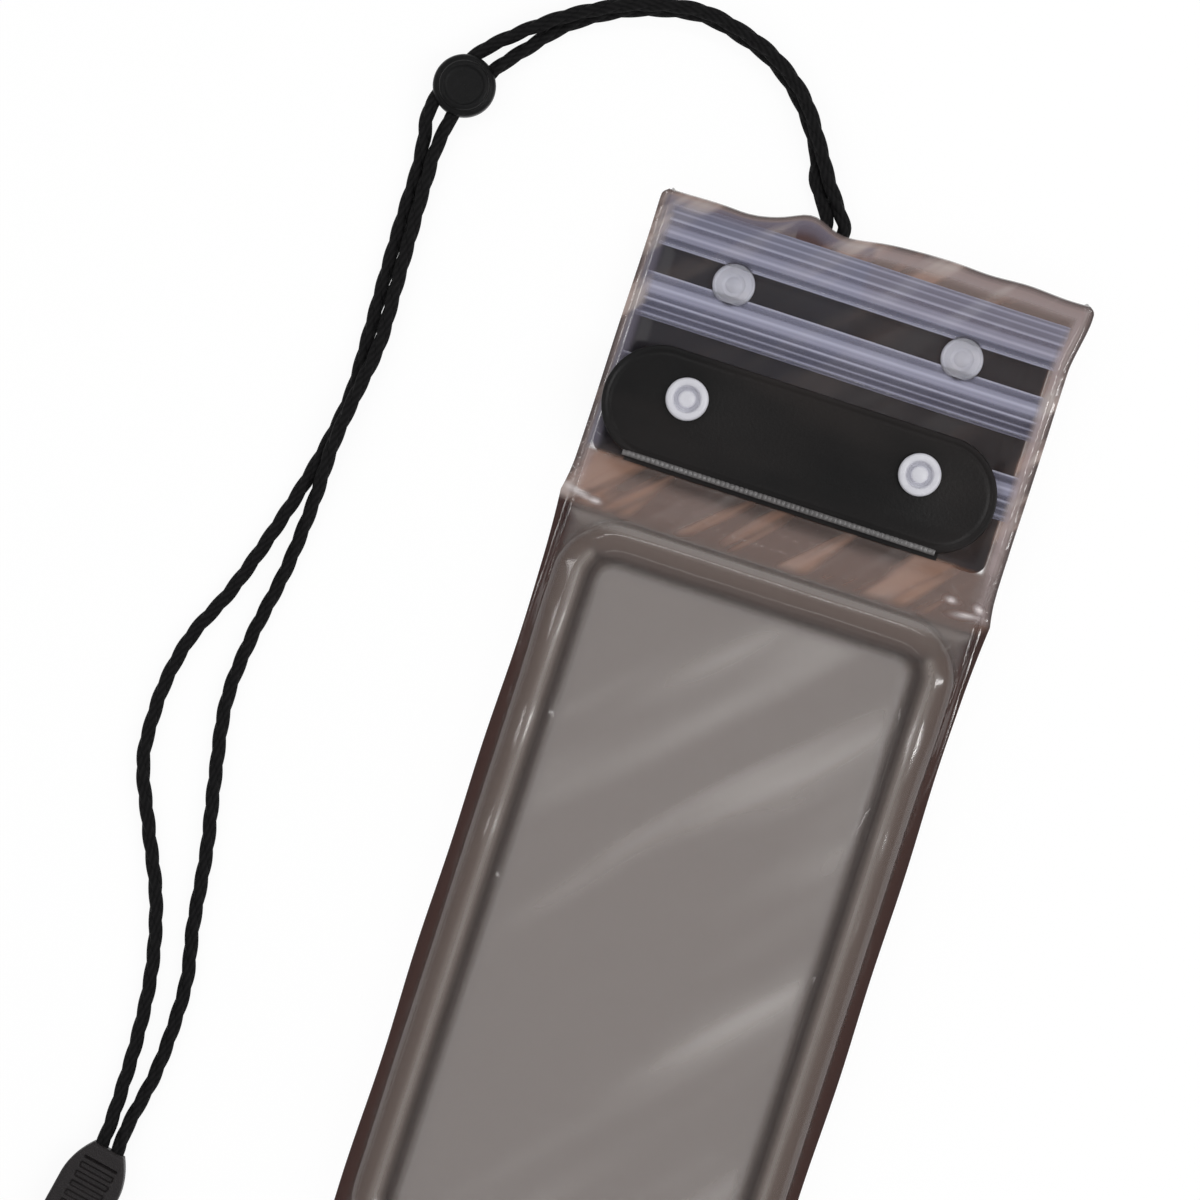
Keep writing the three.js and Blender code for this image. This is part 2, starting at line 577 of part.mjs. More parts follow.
function cord(points) {
  const route = new THREE.CatmullRomCurve3(points.map((point) => new THREE.Vector3(...point)));
  const section = new THREE.Shape();
  for (let i = 0; i < CORD_SIDES; i += 1) {
    const angle = (i * 2 * Math.PI) / CORD_SIDES;
    const place = [(CORD_WIDTH / 2) * Math.cos(angle), (CORD_WIDTH / 2) * Math.sin(angle)];
    if (i === 0) section.moveTo(...place);
    else section.lineTo(...place);
  }
  const steps = Math.round(route.getLength() / CORD_STEP);
  return new THREE.ExtrudeGeometry(section, { steps, extrudePath: route, bevelEnabled: false });
}

/** The slider: a turned bead with a stepped round face, drilled for the two cords. */
function cordSlider() {
  const radius = SLIDER_WIDTH / 2;
  const face = SLIDER_FACE / 2;
  const edge = SLIDER_TALL / 5;
  const bead = turned([
    [0, 0], [face, 0], [radius, edge], [radius, SLIDER_TALL - 2 * edge],
    [face + SLIDER_GROOVE, SLIDER_TALL - edge], [face, SLIDER_TALL - edge],
    [face, SLIDER_TALL - SLIDER_GROOVE], [face - SLIDER_GROOVE, SLIDER_TALL], [0, SLIDER_TALL],
  ], SNAP_SIDES);
  const bores = Object.values(SIDES).map((side) => boreAlongY(
    (side * SLIDER_BORE_SPACING) / 2, SLIDER_TALL / 2, CORD_BORE, SLIDER_WIDTH, 2 * SLIDER_WIDTH));
  return cut(bead, ...bores);
}

/** The clip's outline, from its mouth at y = 0 down to its rounded end. */
function clipOutline(inset) {
  const mouth = CLIP_MOUTH_WIDTH / 2 - inset;
  const half = CLIP_WIDTH / 2 - inset;
  const end = -CLIP_LENGTH + inset;
  const corner = CLIP_END_CORNER - inset;
  const shape = new THREE.Shape();
  shape.moveTo(mouth, -inset);
  shape.lineTo(-mouth, -inset);
  shape.quadraticCurveTo(-half, -CLIP_SHOULDER / 2, -half, -CLIP_SHOULDER);
  shape.absarc(-half + corner, end + corner, corner, Math.PI, 1.5 * Math.PI);
  shape.absarc(half - corner, end + corner, corner, 1.5 * Math.PI, 2 * Math.PI);
  shape.lineTo(half, -CLIP_SHOULDER);
  shape.quadraticCurveTo(half, -CLIP_SHOULDER / 2, mouth, -inset);
  return shape;
}

/** Half of the clip, from its joint at z = 0 up to its ribbed face. */
function clipShell() {
  const tall = (CLIP_TALL - CLEAR) / 2;
  const body = new THREE.ExtrudeGeometry(clipOutline(CLIP_BEVEL), {
    depth: tall - CLIP_BEVEL, bevelThickness: CLIP_BEVEL, bevelSize: CLIP_BEVEL, bevelSegments: 2,
    curveSegments: ARC_SIDES / 2,
  });
  const panelHalf = CLIP_PANEL_WIDTH / 2;
  const panelTop = -CLIP_PANEL_MARGIN;
  const panelBottom = -CLIP_LENGTH + CLIP_PANEL_MARGIN;
  const panelBase = tall - CLIP_PANEL_DEPTH;
  const recess = roundedRectangle(-panelHalf, panelBottom, panelHalf, panelTop, CLIP_BEVEL);
  const pitch = (panelTop - panelBottom) / CLIP_RIB_COUNT;
  const ribs = Array.from({ length: CLIP_RIB_COUNT }, (_, i) => {
    const low = panelBottom + (i + 0.5 - CLIP_RIB_SHARE / 2) * pitch;
    const rib = roundedRectangle(-panelHalf, low, panelHalf, low + CLIP_RIB_SHARE * pitch, 0);
    return plate(rib, panelBase - CLEAR, CLIP_PANEL_DEPTH + CLEAR - CLIP_BEVEL / 4);
  });
  const underside = plate(roundedRectangle(
    -CLIP_WIDTH, -2 * CLIP_LENGTH, CLIP_WIDTH, CLIP_LENGTH, 0), -CLIP_TALL, CLIP_TALL);
  const bores = Object.values(SIDES).map((side) => boreAlongY(
    (side * CLIP_BORE_SPACING) / 2, -CLEAR / 2, CORD_BORE, CLIP_BEVEL, CLIP_BORE_DEPTH));
  const shell = cut(body, plate(recess, panelBase, CLIP_PANEL_DEPTH + CLIP_BEVEL), underside, ...bores);
  return join(shell, ...ribs);
}

// Materials, in the colours of the real object

const material = (color, roughness, metalness = 0) => (
  () => new THREE.MeshStandardMaterial({ color, roughness, metalness }));
const clearFilm = material('#8f8681', 0.2);
const zipPlastic = material('#a9a9b6', 0.25);
const blackSheet = material('#222021', 0.45);
const whiteSnap = material('#e2e1e8', 0.35);
const milkySnap = material('#bdbcca', 0.4);
const blackCord = material('#171718', 0.85);
const blackPlastic = material('#242324', 0.5);
const clipPlastic = material('#383436', 0.55);

// The scene graph

function piece(name, geometry, makeMaterial) {
  const finished = closed(geometry);
  finished.computeVertexNormals();
  const mesh = new THREE.Mesh(finished, makeMaterial());
  mesh.name = name;
  return mesh;
}

function placed(object, x, y, z) {
  object.position.set(x, y, z);
  return object;
}

function films() {
  const group = new THREE.Group();
  group.add(piece('front_film', frontFilm(), clearFilm));
  group.add(piece('cushion_liner', cushionLiner(), clearFilm));
  group.add(piece('back_film', backFilm(), clearFilm));
  return group;
}

function zips() {
  const group = new THREE.Group();
  ZIP_BELOW_MOUTH.forEach((below, i) => {
    const y = MOUTH_Y - below;
    group.add(placed(piece(`zip_${i + 1}_ribs`, zipRibHalf(), zipPlastic), 0, y, RIB_BASE_Z));
    const floor = GROOVE_BASE_Z + ZIP_BASE;
    group.add(placed(piece(`zip_${i + 1}_grooves`, zipGrooveHalf(), zipPlastic), 0, y, floor));
  });
  return group;
}

function rollStrip() {
  const group = new THREE.Group();
  group.add(piece('back_strip', backStrip(), blackSheet));
  Object.entries(SIDES).forEach(([side, sign]) => {
    const pin = STRIP_THICK + STUD_TALL;
    const cap = piece(`strip_cap_${side}`, snapCap(pin), milkySnap);
    cap.rotation.x = Math.PI;
    group.add(placed(cap, stripSnapX(sign), STRIP_SNAP_Y, STRIP_CAP_Z + SNAP_CAP_THICK));
    const stud = piece(`strip_stud_${side}`, snapStud(), milkySnap);
    stud.rotation.x = Math.PI;
    group.add(placed(stud, stripSnapX(sign), STRIP_SNAP_Y, STUD_TALL));
  });
  return group;
}

function flapWithSockets() {
  const group = new THREE.Group();
  group.add(piece('snap_flap', snapFlap(), blackSheet));
  Object.entries(SIDES).forEach(([side, sign]) => {
    const pin = CLEAR + FLAP_THICK + CLEAR + SOCKET_TALL / 2;
    const cap = piece(`flap_cap_${side}`, snapCap(pin), whiteSnap);
    group.add(placed(cap, flapSnapX(sign), FLAP_SNAP_Y, FLAP_CAP_Z));
    const socket = piece(`flap_socket_${side}`, snapSocket(), whiteSnap);
    group.add(placed(socket, flapSnapX(sign), FLAP_SNAP_Y, SOCKET_Z));
  });
  return group;
}

function lanyard() {
  const group = new THREE.Group();
  group.add(piece('lanyard_anchor', lanyardAnchor(), blackPlastic));
  group.add(piece('outer_cord_upper', cord(OUTER_CORD_TO_SLIDER), blackCord));
  group.add(piece('inner_cord_upper', cord(INNER_CORD_TO_SLIDER), blackCord));
  group.add(piece('outer_cord_lower', cord(OUTER_CORD_TO_CLIP), blackCord));
  group.add(piece('inner_cord_lower', cord(INNER_CORD_TO_CLIP), blackCord));
  const slider = piece('cord_slider', cordSlider(), blackPlastic);
  slider.rotation.z = SLIDER_TURN;
  group.add(placed(slider, SLIDER_X, SLIDER_Y, 0));
  const clip = new THREE.Group();
  clip.rotation.z = CLIP_TURN;
  clip.add(placed(piece('end_clip_front', clipShell(), clipPlastic), 0, 0, CLEAR / 2));
  const back = piece('end_clip_back', clipShell(), clipPlastic);
  back.rotation.y = Math.PI;
  clip.add(placed(back, 0, 0, -CLEAR / 2));
  group.add(placed(clip, CLIP_X, CLIP_Y, CLIP_TALL / 2));
  return group;
}

const pouch = new THREE.Group();
pouch.add(films(), zips(), rollStrip(), flapWithSockets(), lanyard());

export default pouch;
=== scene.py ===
# %% [markdown]
# A clear roll-top pouch, dressed for the camera.
# The solids of the pouch come from the packed model. This lesson gives each of them its real surface:
# welded film with soft creases, ribbed zip bands, black sheet, moulded snaps and a twisted cord.
# Lengths are written in millimetres, as on a drawing, and turned into metres where a mesh is made.

# %% Tools and the packed model
import math

import bpy
import numpy as np
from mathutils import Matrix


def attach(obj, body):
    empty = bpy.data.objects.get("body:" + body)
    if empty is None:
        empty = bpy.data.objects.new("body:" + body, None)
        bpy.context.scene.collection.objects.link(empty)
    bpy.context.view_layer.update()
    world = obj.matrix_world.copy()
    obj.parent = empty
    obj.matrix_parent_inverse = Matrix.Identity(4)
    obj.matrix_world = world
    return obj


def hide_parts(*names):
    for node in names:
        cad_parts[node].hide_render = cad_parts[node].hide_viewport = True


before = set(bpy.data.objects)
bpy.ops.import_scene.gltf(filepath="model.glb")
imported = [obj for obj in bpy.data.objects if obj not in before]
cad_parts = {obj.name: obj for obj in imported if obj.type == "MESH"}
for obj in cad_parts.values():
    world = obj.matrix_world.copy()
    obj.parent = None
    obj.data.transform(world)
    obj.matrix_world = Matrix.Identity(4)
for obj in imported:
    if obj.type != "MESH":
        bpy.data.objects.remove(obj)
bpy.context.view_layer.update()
MM = 0.001
print("solids loaded:", len(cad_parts))

# %% [markdown]
# The camera comes first, because everything later is judged through it.
# The picture was taken from straight above with the pouch leaning to one side. Rolling the camera
# gives the same lean and leaves the pouch square in its own frame. A long lens keeps edges parallel.

# %% Camera
VIEW_CENTRE = (-32.76, 30.17)
VIEW_WIDTH = 255.3
VIEW_LEAN = math.radians(18.0)
CAMERA_HEIGHT = 1600.0
SENSOR = 36.0
MIDDLE_LEVEL = 9.0

lens = bpy.data.cameras.new("lens")
lens.sensor_width = SENSOR
lens.lens = SENSOR * (CAMERA_HEIGHT - MIDDLE_LEVEL) / VIEW_WIDTH
camera = bpy.data.objects.new("camera", lens)
camera.location = (VIEW_CENTRE[0] * MM, VIEW_CENTRE[1] * MM, CAMERA_HEIGHT * MM)
camera.rotation_euler = (0, 0, VIEW_LEAN)
bpy.context.scene.collection.objects.link(camera)
bpy.context.scene.camera = camera
print("focal length:", round(lens.lens, 1), "mm")

# %% [markdown]
# Shader maths reads best as plain arithmetic. A small class wraps the output socket of a node, so that
# a sum or a product of two of them adds the Math node itself.

# %% Shader arithmetic
class Shade:
    """A value that changes over a surface: one output socket, with arithmetic."""

    def __init__(self, finish, socket):
        self.finish = finish
        self.socket = socket

    def maths(self, operation, first, second):
        return self.finish.node("ShaderNodeMath", {"operation": operation}, {0: first, 1: second})

    def __add__(self, other):
        return self.maths("ADD", self, other)

    __radd__ = __add__

    def __mul__(self, other):
        return self.maths("MULTIPLY", self, other)

    __rmul__ = __mul__

    def __rsub__(self, other):
        return self.maths("SUBTRACT", other, self)

    def __truediv__(self, other):
        return self.maths("DIVIDE", self, other)

    def wave(self):
        """Sine of the value, moved to run from 0 to 1."""
        return self.maths("SINE", self, 0) * 0.5 + 0.5

    def clear(self, low, high):
        """0 below low, 1 above high, and smooth between them."""
        return self.finish.node(
            "ShaderNodeMapRange",
            {"interpolation_type": "SMOOTHSTEP"},
            {"Value": self, "From Min": low, "From Max": high},
        )


print("a Shade has:", [name for name in vars(Shade) if not name.startswith("_")])

# %% [markdown]
# The Principled surface is Blender's all-round material. This class makes one of them. A socket that is
# given a Shade is linked to it, and a socket that is given a number or a colour just keeps that value.

# %% A material and its nodes
class Finish:
    """One material: a Principled surface whose sockets take numbers, colours or Shades."""

    def __init__(self, name, **plain):
        self.material = bpy.data.materials.new(name)
        self.material.use_nodes = True
        self.nodes = self.material.node_tree.nodes
        self.surface = self.nodes["Principled BSDF"]
        self.set(plain)

    def put(self, socket, value):
        if isinstance(value, Shade):
            self.material.node_tree.links.new(value.socket, socket)
        elif isinstance(value, tuple) and len(value) == 3 and socket.type == "RGBA":
            socket.default_value = (*value, 1.0)
        else:
            socket.default_value = value

    def node(self, kind, settings=None, values=None, output=0):
        made = self.nodes.new(kind)
        for key, setting in (settings or {}).items():
            if key == "stops":
                ramp = made.color_ramp.elements
                while len(ramp) < len(setting):
                    ramp.new(0.5)
                for element, (place, colour) in zip(ramp, setting):
                    element.position = place
                    element.color = (*colour, 1.0)
            else:
                setattr(made, key, setting)
        for key, value in (values or {}).items():
            self.put(made.inputs[key], value)
        return Shade(self, made.outputs[output])

    def set(self, sockets):
        for name, value in sockets.items():
            self.put(self.surface.inputs[name.replace("_", " ")], value)

    def mark(self, name, output="Fac"):
        """A number or a colour that the mesh carries at each point."""
        return self.node("ShaderNodeAttribute", {"attribute_name": name}, output=output)

    def place(self):
        """Where a point is, in metres, in the frame of the pouch."""
        return self.node("ShaderNodeTexCoord", output="Object")

    def stretched(self, x, y, z):
        """The place, with each direction multiplied."""
        return self.node(
            "ShaderNodeVectorMath", {"operation": "MULTIPLY"}, {0: self.place(), 1: (x, y, z)}
        )

    def grain(self, scale, detail=2.0, vector=None):
        """Soft random variation from 0 to 1, about 1/scale metres apart."""
        return self.node(
            "ShaderNodeTexNoise",
            values={"Vector": vector or self.place(), "Scale": scale, "Detail": detail},
        )

    def mix(self, share, first, second):
        """One colour where share is 0 and the other where it is 1."""
        return self.node(
            "ShaderNodeMix", {"data_type": "RGBA"}, {0: share, 6: first, 7: second}, output=2
        )

    def relief(self, height, depth):
        """Fine relief, with depth in metres for a height of 1."""
        bump = self.node(
            "ShaderNodeBump", values={"Height": height, "Distance": depth, "Strength": 1.0}
        )
        self.set({"Normal": bump})


print("a Finish has:", [name for name in vars(Finish) if not name.startswith("_")])

# %% [markdown]
# A colour judged from a picture isn't the number that Blender works with. Pictures store brightness on a
# curve that leaves more room for dark tones, and light adds up only once that curve is undone.

# %% Colours
def tone(red, green, blue):
    """A colour as a picture program writes it, from 0 to 255, turned into linear light."""
    shares = [value / 255 for value in (red, green, blue)]
    return tuple(s / 12.92 if s <= 0.04045 else ((s + 0.055) / 1.055) ** 2.4 for s in shares)


print("middle grey in linear light:", round(tone(128, 128, 128)[0], 3))

# %% [markdown]
# The cords lie where the packed tubes lie, so their points are the same. Each is one cord from the
# anchor behind the mouth, through the slider, to the clip. Where the picture shows the pair as a single
# black band, one of them lies on the other. Real cord of this kind is three plies laid round each other,
# and its knobbly outline shows even from far away, so the plies are modelled.

# %% Cord routes
OUTER_ROUTE = [
    (-7.5, 116.5, 2.9), (-7.5, 120.4, 2.7), (-7.7, 121.8, 2.6), (-9.6, 124.6, 2.5),
    (-13.9, 130.4, 3.5), (-17.8, 136.4, 4.7), (-24.4, 145.5, 4.8), (-33, 151.8, 4.8),
    (-41.8, 155, 4.8), (-51.1, 156.4, 4.8), (-63.6, 153.8, 4.8), (-71.9, 150.1, 4.7),
    (-79.3, 145.6, 4.5), (-88.3, 138.4, 3.7), (-93.6, 132.9, 3.6), (-99.4, 120.6, 3.6),
    (-99.7, 116.8, 3.1), (-98.9, 112, 2.2), (-98.3, 106.3, 1.6), (-98.2, 99, 1.6),
    (-98.1, 92.2, 1.6), (-97.7, 80, 1.6), (-97.2, 67.7, 1.6), (-96.9, 56, 1.6),
    (-98.3, 44.8, 1.6), (-101.6, 30, 1.6), (-108.3, 7.9, 1.5), (-113.4, -4, 1.5),
    (-115.6, -14.6, 1.5), (-115.9, -23, 1.5), (-115, -32.5, 1.5), (-109.4, -46, 1.5),
    (-103.3, -59.8, 1.5), (-99.5, -74.3, 1.5), (-97.9, -89, 1.5), (-97.6, -101, 1.8),
    (-97.6, -108, 3), (-97.9, -113.3, 3.5), (-98.9, -118.5, 3.5),
]
INNER_ROUTE = [
    (-11.5, 116.5, 2.9), (-11.5, 120.4, 2.7), (-11.7, 121.8, 2.5), (-13, 124.6, 2),
    (-16.4, 129.3, 1.6), (-18.4, 135.4, 1.6), (-25, 144.6, 1.6), (-33.2, 151, 1.6),
    (-42, 154.2, 1.6), (-50.9, 155.6, 1.6), (-63.2, 152.9, 1.6), (-71.2, 149.1, 1.6),
    (-78.1, 144.1, 1.7), (-84.6, 136.6, 2.7), (-89, 130.9, 3.6), (-94.7, 118.7, 3.6),
    (-95.4, 114.5, 3.4), (-95.9, 110, 3.3), (-95.8, 106.3, 3.3), (-95.6, 99, 3.3),
    (-95.3, 92.2, 3.3), (-94.8, 80, 3.3), (-94.4, 67.7, 3.4), (-95.8, 56, 4.7),
    (-97.1, 44.8, 4.6), (-97.4, 31, 2.4), (-98.6, 15.5, 1.5), (-101.2, -1, 1.5),
    (-102, -14.7, 1.5), (-99.2, -31.7, 1.5), (-96.2, -46.4, 1.5), (-93.8, -63.6, 1.5),
    (-91.7, -74, 1.5), (-91.3, -85.1, 1.5), (-91.9, -96, 1.6), (-93.3, -104, 2.4),
    (-94.1, -109, 3.2), (-94.3, -113.3, 3.5), (-95.3, -118.8, 3.5),
]
ROPE_WIDTH = 3.2
ROPE_REST = 1.62
PLIES = 3
PLY_RADIUS = 1.05
PLY_PITCH = 18.0
print("points along the cords:", len(OUTER_ROUTE), len(INNER_ROUTE))

# %% [markdown]
# A Blender curve could join these points, but three plies have to be laid round it exactly. So the
# curve is worked out here: it passes through every point and turns evenly between them. A cord's middle
# never comes closer to the ground than half its own thickness.

# %% A smooth curve through points
def between(low, high, start, end, t):
    """The point at time t on the straight way from low, at start, to high, at end."""
    return ((end - t) * low + (t - start) * high) / (end - start)


def smooth_route(points, step):
    """Points about step apart on a smooth curve through the given ones.

    The time from one point to the next is the square root of their distance, which keeps the curve
    from swinging out where the points are unevenly spaced.
    """
    knots = np.array(points, dtype=float)
    ends = np.vstack([2 * knots[0] - knots[1], knots, 2 * knots[-1] - knots[-2]])
    line = []
    for a, b, c, d in zip(ends, ends[1:], ends[2:], ends[3:]):
        gaps = [math.sqrt(np.linalg.norm(q - p)) for p, q in ((a, b), (b, c), (c, d))]
        times = np.cumsum([0] + gaps)
        count = max(2, round(np.linalg.norm(c - b) / step))
        for t in np.linspace(times[1], times[2], count, endpoint=False):
            level = [a, b, c, d]
            for spans in (((0, 1), (1, 2), (2, 3)), ((0, 2), (1, 3)), ((1, 2),)):
                level = [
                    between(low, high, times[start], times[end], t)
                    for (start, end), low, high in zip(spans, level, level[1:])
                ]
            line.append(level[0])
    line.append(knots[-1])
    return np.array(line)


def length_of(line):
    return float(np.linalg.norm(np.diff(line, axis=0), axis=1).sum())


ROPE_STEP = 0.75
routes = {
    "outer_cord": smooth_route(OUTER_ROUTE, ROPE_STEP),
    "inner_cord": smooth_route(INNER_ROUTE, ROPE_STEP),
}
for line in routes.values():
    line[:, 2] = np.maximum(line[:, 2], ROPE_REST)
print({name: round(length_of(line), 1) for name, line in routes.items()})

# %% [markdown]
# Every new mesh goes through one function. It takes points in millimetres, makes the object, gives it
# its finishes, and ties it to the packed model: the body it moves with, the solids it stands for and the
# material slot it takes its finish from.

# %% From points to a piece
def piece(name, points, faces, finish, stands_for=(), marks=None, sharp=None):
    mesh = bpy.data.meshes.new(name)
    mesh.from_pydata((np.asarray(points, dtype=float) * MM).tolist(), [], faces)
    mesh.materials.append(finish.material)
    mesh.polygons.foreach_set("use_smooth", [True] * len(mesh.polygons))
    if sharp:
        mesh.set_sharp_from_angle(angle=math.radians(sharp))
    for mark, values in (marks or {}).items():
        values = np.asarray(values, dtype=np.float32)
        if values.ndim == 2:
            layer = mesh.attributes.new(mark, "FLOAT_COLOR", "POINT")
            layer.data.foreach_set("color", np.column_stack([values, np.ones(len(values))]).ravel())
        else:
            layer = mesh.attributes.new(mark, "FLOAT", "POINT")
            layer.data.foreach_set("value", values)
    made = bpy.data.objects.new(name, mesh)
    bpy.context.scene.collection.objects.link(made)
    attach(made, "root")
    if stands_for:
        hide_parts(*stands_for)
    print(name, len(faces), "faces")
    return made


def grid_faces(rows, columns):
    """Faces of a closed sheet: an upper grid, a lower grid and the four sides between them."""
    lower = rows * columns
    faces = []
    for r in range(rows - 1):
        for c in range(columns - 1):
            a = r * columns + c
            faces.append((a, a + 1, a + 1 + columns, a + columns))
            faces.append((lower + a, lower + a + columns, lower + a + 1 + columns, lower + a + 1))
    last = (rows - 1) * columns
    for c in range(columns - 1):
        faces.append((lower + c, lower + c + 1, c + 1, c))
        faces.append((lower + last + c + 1, lower + last + c, last + c, last + c + 1))
    for r in range(rows - 1):
        a, b = r * columns, (r + 1) * columns
        faces.append((lower + b, lower + a, a, b))
        right = columns - 1
        faces.append((lower + a + right, lower + b + right, b + right, a + right))
    return faces


def ring_faces(stations, sides):
    """Faces of a tube with closed ends, from rings of points."""
    faces = []
    for s in range(stations - 1):
        for k in range(sides):
            a, b = s * sides + k, s * sides + (k + 1) % sides
            faces.append((a, b, b + sides, a + sides))
    faces.append(tuple(range(sides))[::-1])
    faces.append(tuple(range((stations - 1) * sides, stations * sides)))
    return faces


# %% [markdown]
# The cord's yarn is a soft black polyester. Its threads run along each ply, so their relief follows two
# numbers that the mesh carries: how far along the ply a point is, and how far round it.

# %% Cord finish
cord_finish = Finish("twisted_cord", Roughness=0.8, Specular_IOR_Level=0.2)
thread = (cord_finish.mark("along") * 3.1 + cord_finish.mark("around") * 5.0).wave()
fuzz = cord_finish.grain(2600.0)
yarn = thread * 0.7 + fuzz * 0.3
cord_finish.set({"Base_Color": cord_finish.mix(yarn, tone(6, 6, 7), tone(27, 26, 27))})
cord_finish.relief(thread * 0.6 + fuzz * 0.4, 0.00012)
print("finish:", cord_finish.material.name)

# %% [markdown]
# A rope could be one tube with a bump in its finish, but its outline would stay smooth. Here each ply is
# its own tube, wound round the route like a screw thread, so the outline is knobbly from every side.

# %% Lay three plies along a route
ROPE_SIDES = 9


def rope(name, line, stands_for):
    tangent = np.gradient(line, axis=0)
    tangent /= np.linalg.norm(tangent, axis=1)[:, None]
    side = np.cross(tangent, (0, 0, 1))
    side /= np.linalg.norm(side, axis=1)[:, None]
    up = np.cross(side, tangent)
    travelled = np.concatenate([[0], np.cumsum(np.linalg.norm(np.diff(line, axis=0), axis=1))])
    points, faces, along, around = [], [], [], []
    for ply in range(PLIES):
        turn = 2 * math.pi * (travelled / PLY_PITCH + ply / PLIES)
        swing = ROPE_WIDTH / 2 - PLY_RADIUS
        centre = line + swing * (np.cos(turn)[:, None] * side + np.sin(turn)[:, None] * up)
        base = len(points)
        for s in range(len(line)):
            for k in range(ROPE_SIDES):
                angle = -2 * math.pi * k / ROPE_SIDES
                reach = PLY_RADIUS * (math.cos(angle) * side[s] + math.sin(angle) * up[s])
                points.append(centre[s] + reach)
                along.append(travelled[s])
                around.append(angle)
        faces += [tuple(base + i for i in face) for face in ring_faces(len(line), ROPE_SIDES)]
    marks = {"along": along, "around": around}
    made = piece(name, points, faces, cord_finish, stands_for, marks)
    return made


print("plies in a rope:", PLIES)

# %% [markdown]
# The pouch is two sheets of clear vinyl, welded round the edge. Film like this is never flat: it waves
# between the zips, and it bulges where it was folded. One smooth random function, made of a few long
# sine waves, gives that waviness wherever it is needed, and the same numbers come out on every run.

# %% Waviness
WAVE_COUNT = 6


def wander(x, y, size, seed):
    """Smooth random waves about size millimetres long, mostly between -1 and 1."""
    dice = np.random.default_rng(seed)
    total = np.zeros_like(np.asarray(x, dtype=float) + np.asarray(y, dtype=float))
    for _ in range(WAVE_COUNT):
        angle = dice.uniform(0, math.pi)
        pace = 2 * math.pi / (size * dice.uniform(0.7, 1.5))
        phase = dice.uniform(0, 6.28)
        total = total + np.sin(pace * (x * math.cos(angle) + y * math.sin(angle)) + phase)
    return total / 3


def smooth(value, low, high):
    """0 below low, 1 above high, and smooth between them."""
    share = np.clip((value - low) / (high - low), 0, 1)
    return share * share * (3 - 2 * share)


def ridge(value, middle, width):
    """1 at the middle, and falling away on both sides."""
    return np.exp(-(((value - middle) / width) ** 2))


def ellipse_rise(share):
    """A quarter of an ellipse: steep at 0 and level at 1."""
    left = 1 - np.clip(share, 0, 1)
    return np.sqrt(1 - left * left)


def rounded(depth, radius):
    """How much an edge of that radius has fallen at a depth inside the outline."""
    left = 1 - np.clip(depth / radius, 0, 1)
    return radius * (1 - np.sqrt(np.clip(1 - left * left, 0, 1)))


print("waves in a sum:", WAVE_COUNT)

# %% [markdown]
# The outline and the heights of the pouch are those of its solids. The cushion follows the outline at an
# even distance, so most of the shape needs just one number: how far inside the body a point lies.

# %% Outline and levels of the pouch
HALF_WIDTH = 47.0
MOUTH_Y, NECK_Y, BOTTOM_Y = 120.0, 50.2, -120.0
BOTTOM_CORNER, MOUTH_CORNER = 10.0, 2.0
SHOULDER_OUT, SHOULDER_UP, SHOULDER_DOWN = 0.8, 8.0, 16.0
SEAM = 2.3
CUSHION_WIDTH = 9.0
CUSHION_CORNER = 16.0
FLOOR_EDGE = 6.0
FILM = 0.4
CREST_Z, WINDOW_Z = 14.4, 10.0
FRONT_SEAM_Z, FRONT_NECK_Z = 8.2, 9.6
BACK_SEAM_Z, BACK_NECK_Z = 7.5, 6.1
ZIP_Y = (111.3, 95.4, 77.5)
ZIP_HALF_BAND = 4.9


def half_width(y):
    """Half the pouch's width at y, with its round corners and the small shoulders at the neck."""
    width = np.full_like(y, HALF_WIDTH)
    low = np.clip(BOTTOM_Y + BOTTOM_CORNER - y, 0, BOTTOM_CORNER)
    width -= BOTTOM_CORNER - np.sqrt(BOTTOM_CORNER**2 - low**2)
    high = np.clip(y - (MOUTH_Y - MOUTH_CORNER), 0, MOUTH_CORNER)
    width -= MOUTH_CORNER - np.sqrt(MOUTH_CORNER**2 - high**2)
    above = np.clip(1 - np.abs(y - NECK_Y) / SHOULDER_UP, 0, 1) ** 2
    below = np.clip(1 - np.abs(y - NECK_Y) / SHOULDER_DOWN, 0, 1) ** 2
    width += SHOULDER_OUT * np.where(y > NECK_Y, above, below)
    return width


def depth_in_body(x, y):
    """How far a point lies inside the body, whose corners are round."""
    middle = (NECK_Y + BOTTOM_Y) / 2
    from_x = np.abs(x) - (HALF_WIDTH - CUSHION_CORNER)
    from_y = np.abs(y - middle) - ((NECK_Y - BOTTOM_Y) / 2 - CUSHION_CORNER)
    past = np.hypot(np.maximum(from_x, 0), np.maximum(from_y, 0))
    return CUSHION_CORNER - past - np.minimum(np.maximum(from_x, from_y), 0)


def rim_level(x, y, seam, neck):
    """The film's level outside the cushion: one height at the welds, another across the neck."""
    share = smooth(HALF_WIDTH - np.abs(x), 1.0, 2.0) * smooth(y, NECK_Y - 40, NECK_Y - 24)
    return seam + (neck - seam) * share


print("pouch:", 2 * HALF_WIDTH, "by", MOUTH_Y - BOTTOM_Y, "mm")

# %% [markdown]
# The mouth's edge isn't straight in the picture. It lies low on the left, rises to a small peak where
# the cord passes under it, and runs high to the right corner. Both films follow the same edge.

# %% Mouth edge and neck folds
def mouth_shift(x, y):
    """How far the edge of the mouth lies above its straight line."""
    low_left = -1.9 * smooth(-x, 16.0, 30.0)
    peak = 1.9 * ridge(x, -14.5, 4.5)
    high_right = 1.7 * smooth(x, -8.0, 12.0)
    waves = 0.25 * wander(x, 0 * x, 14.0, 5)
    return (low_left + peak + high_right + waves) * smooth(y, 108.0, MOUTH_Y)


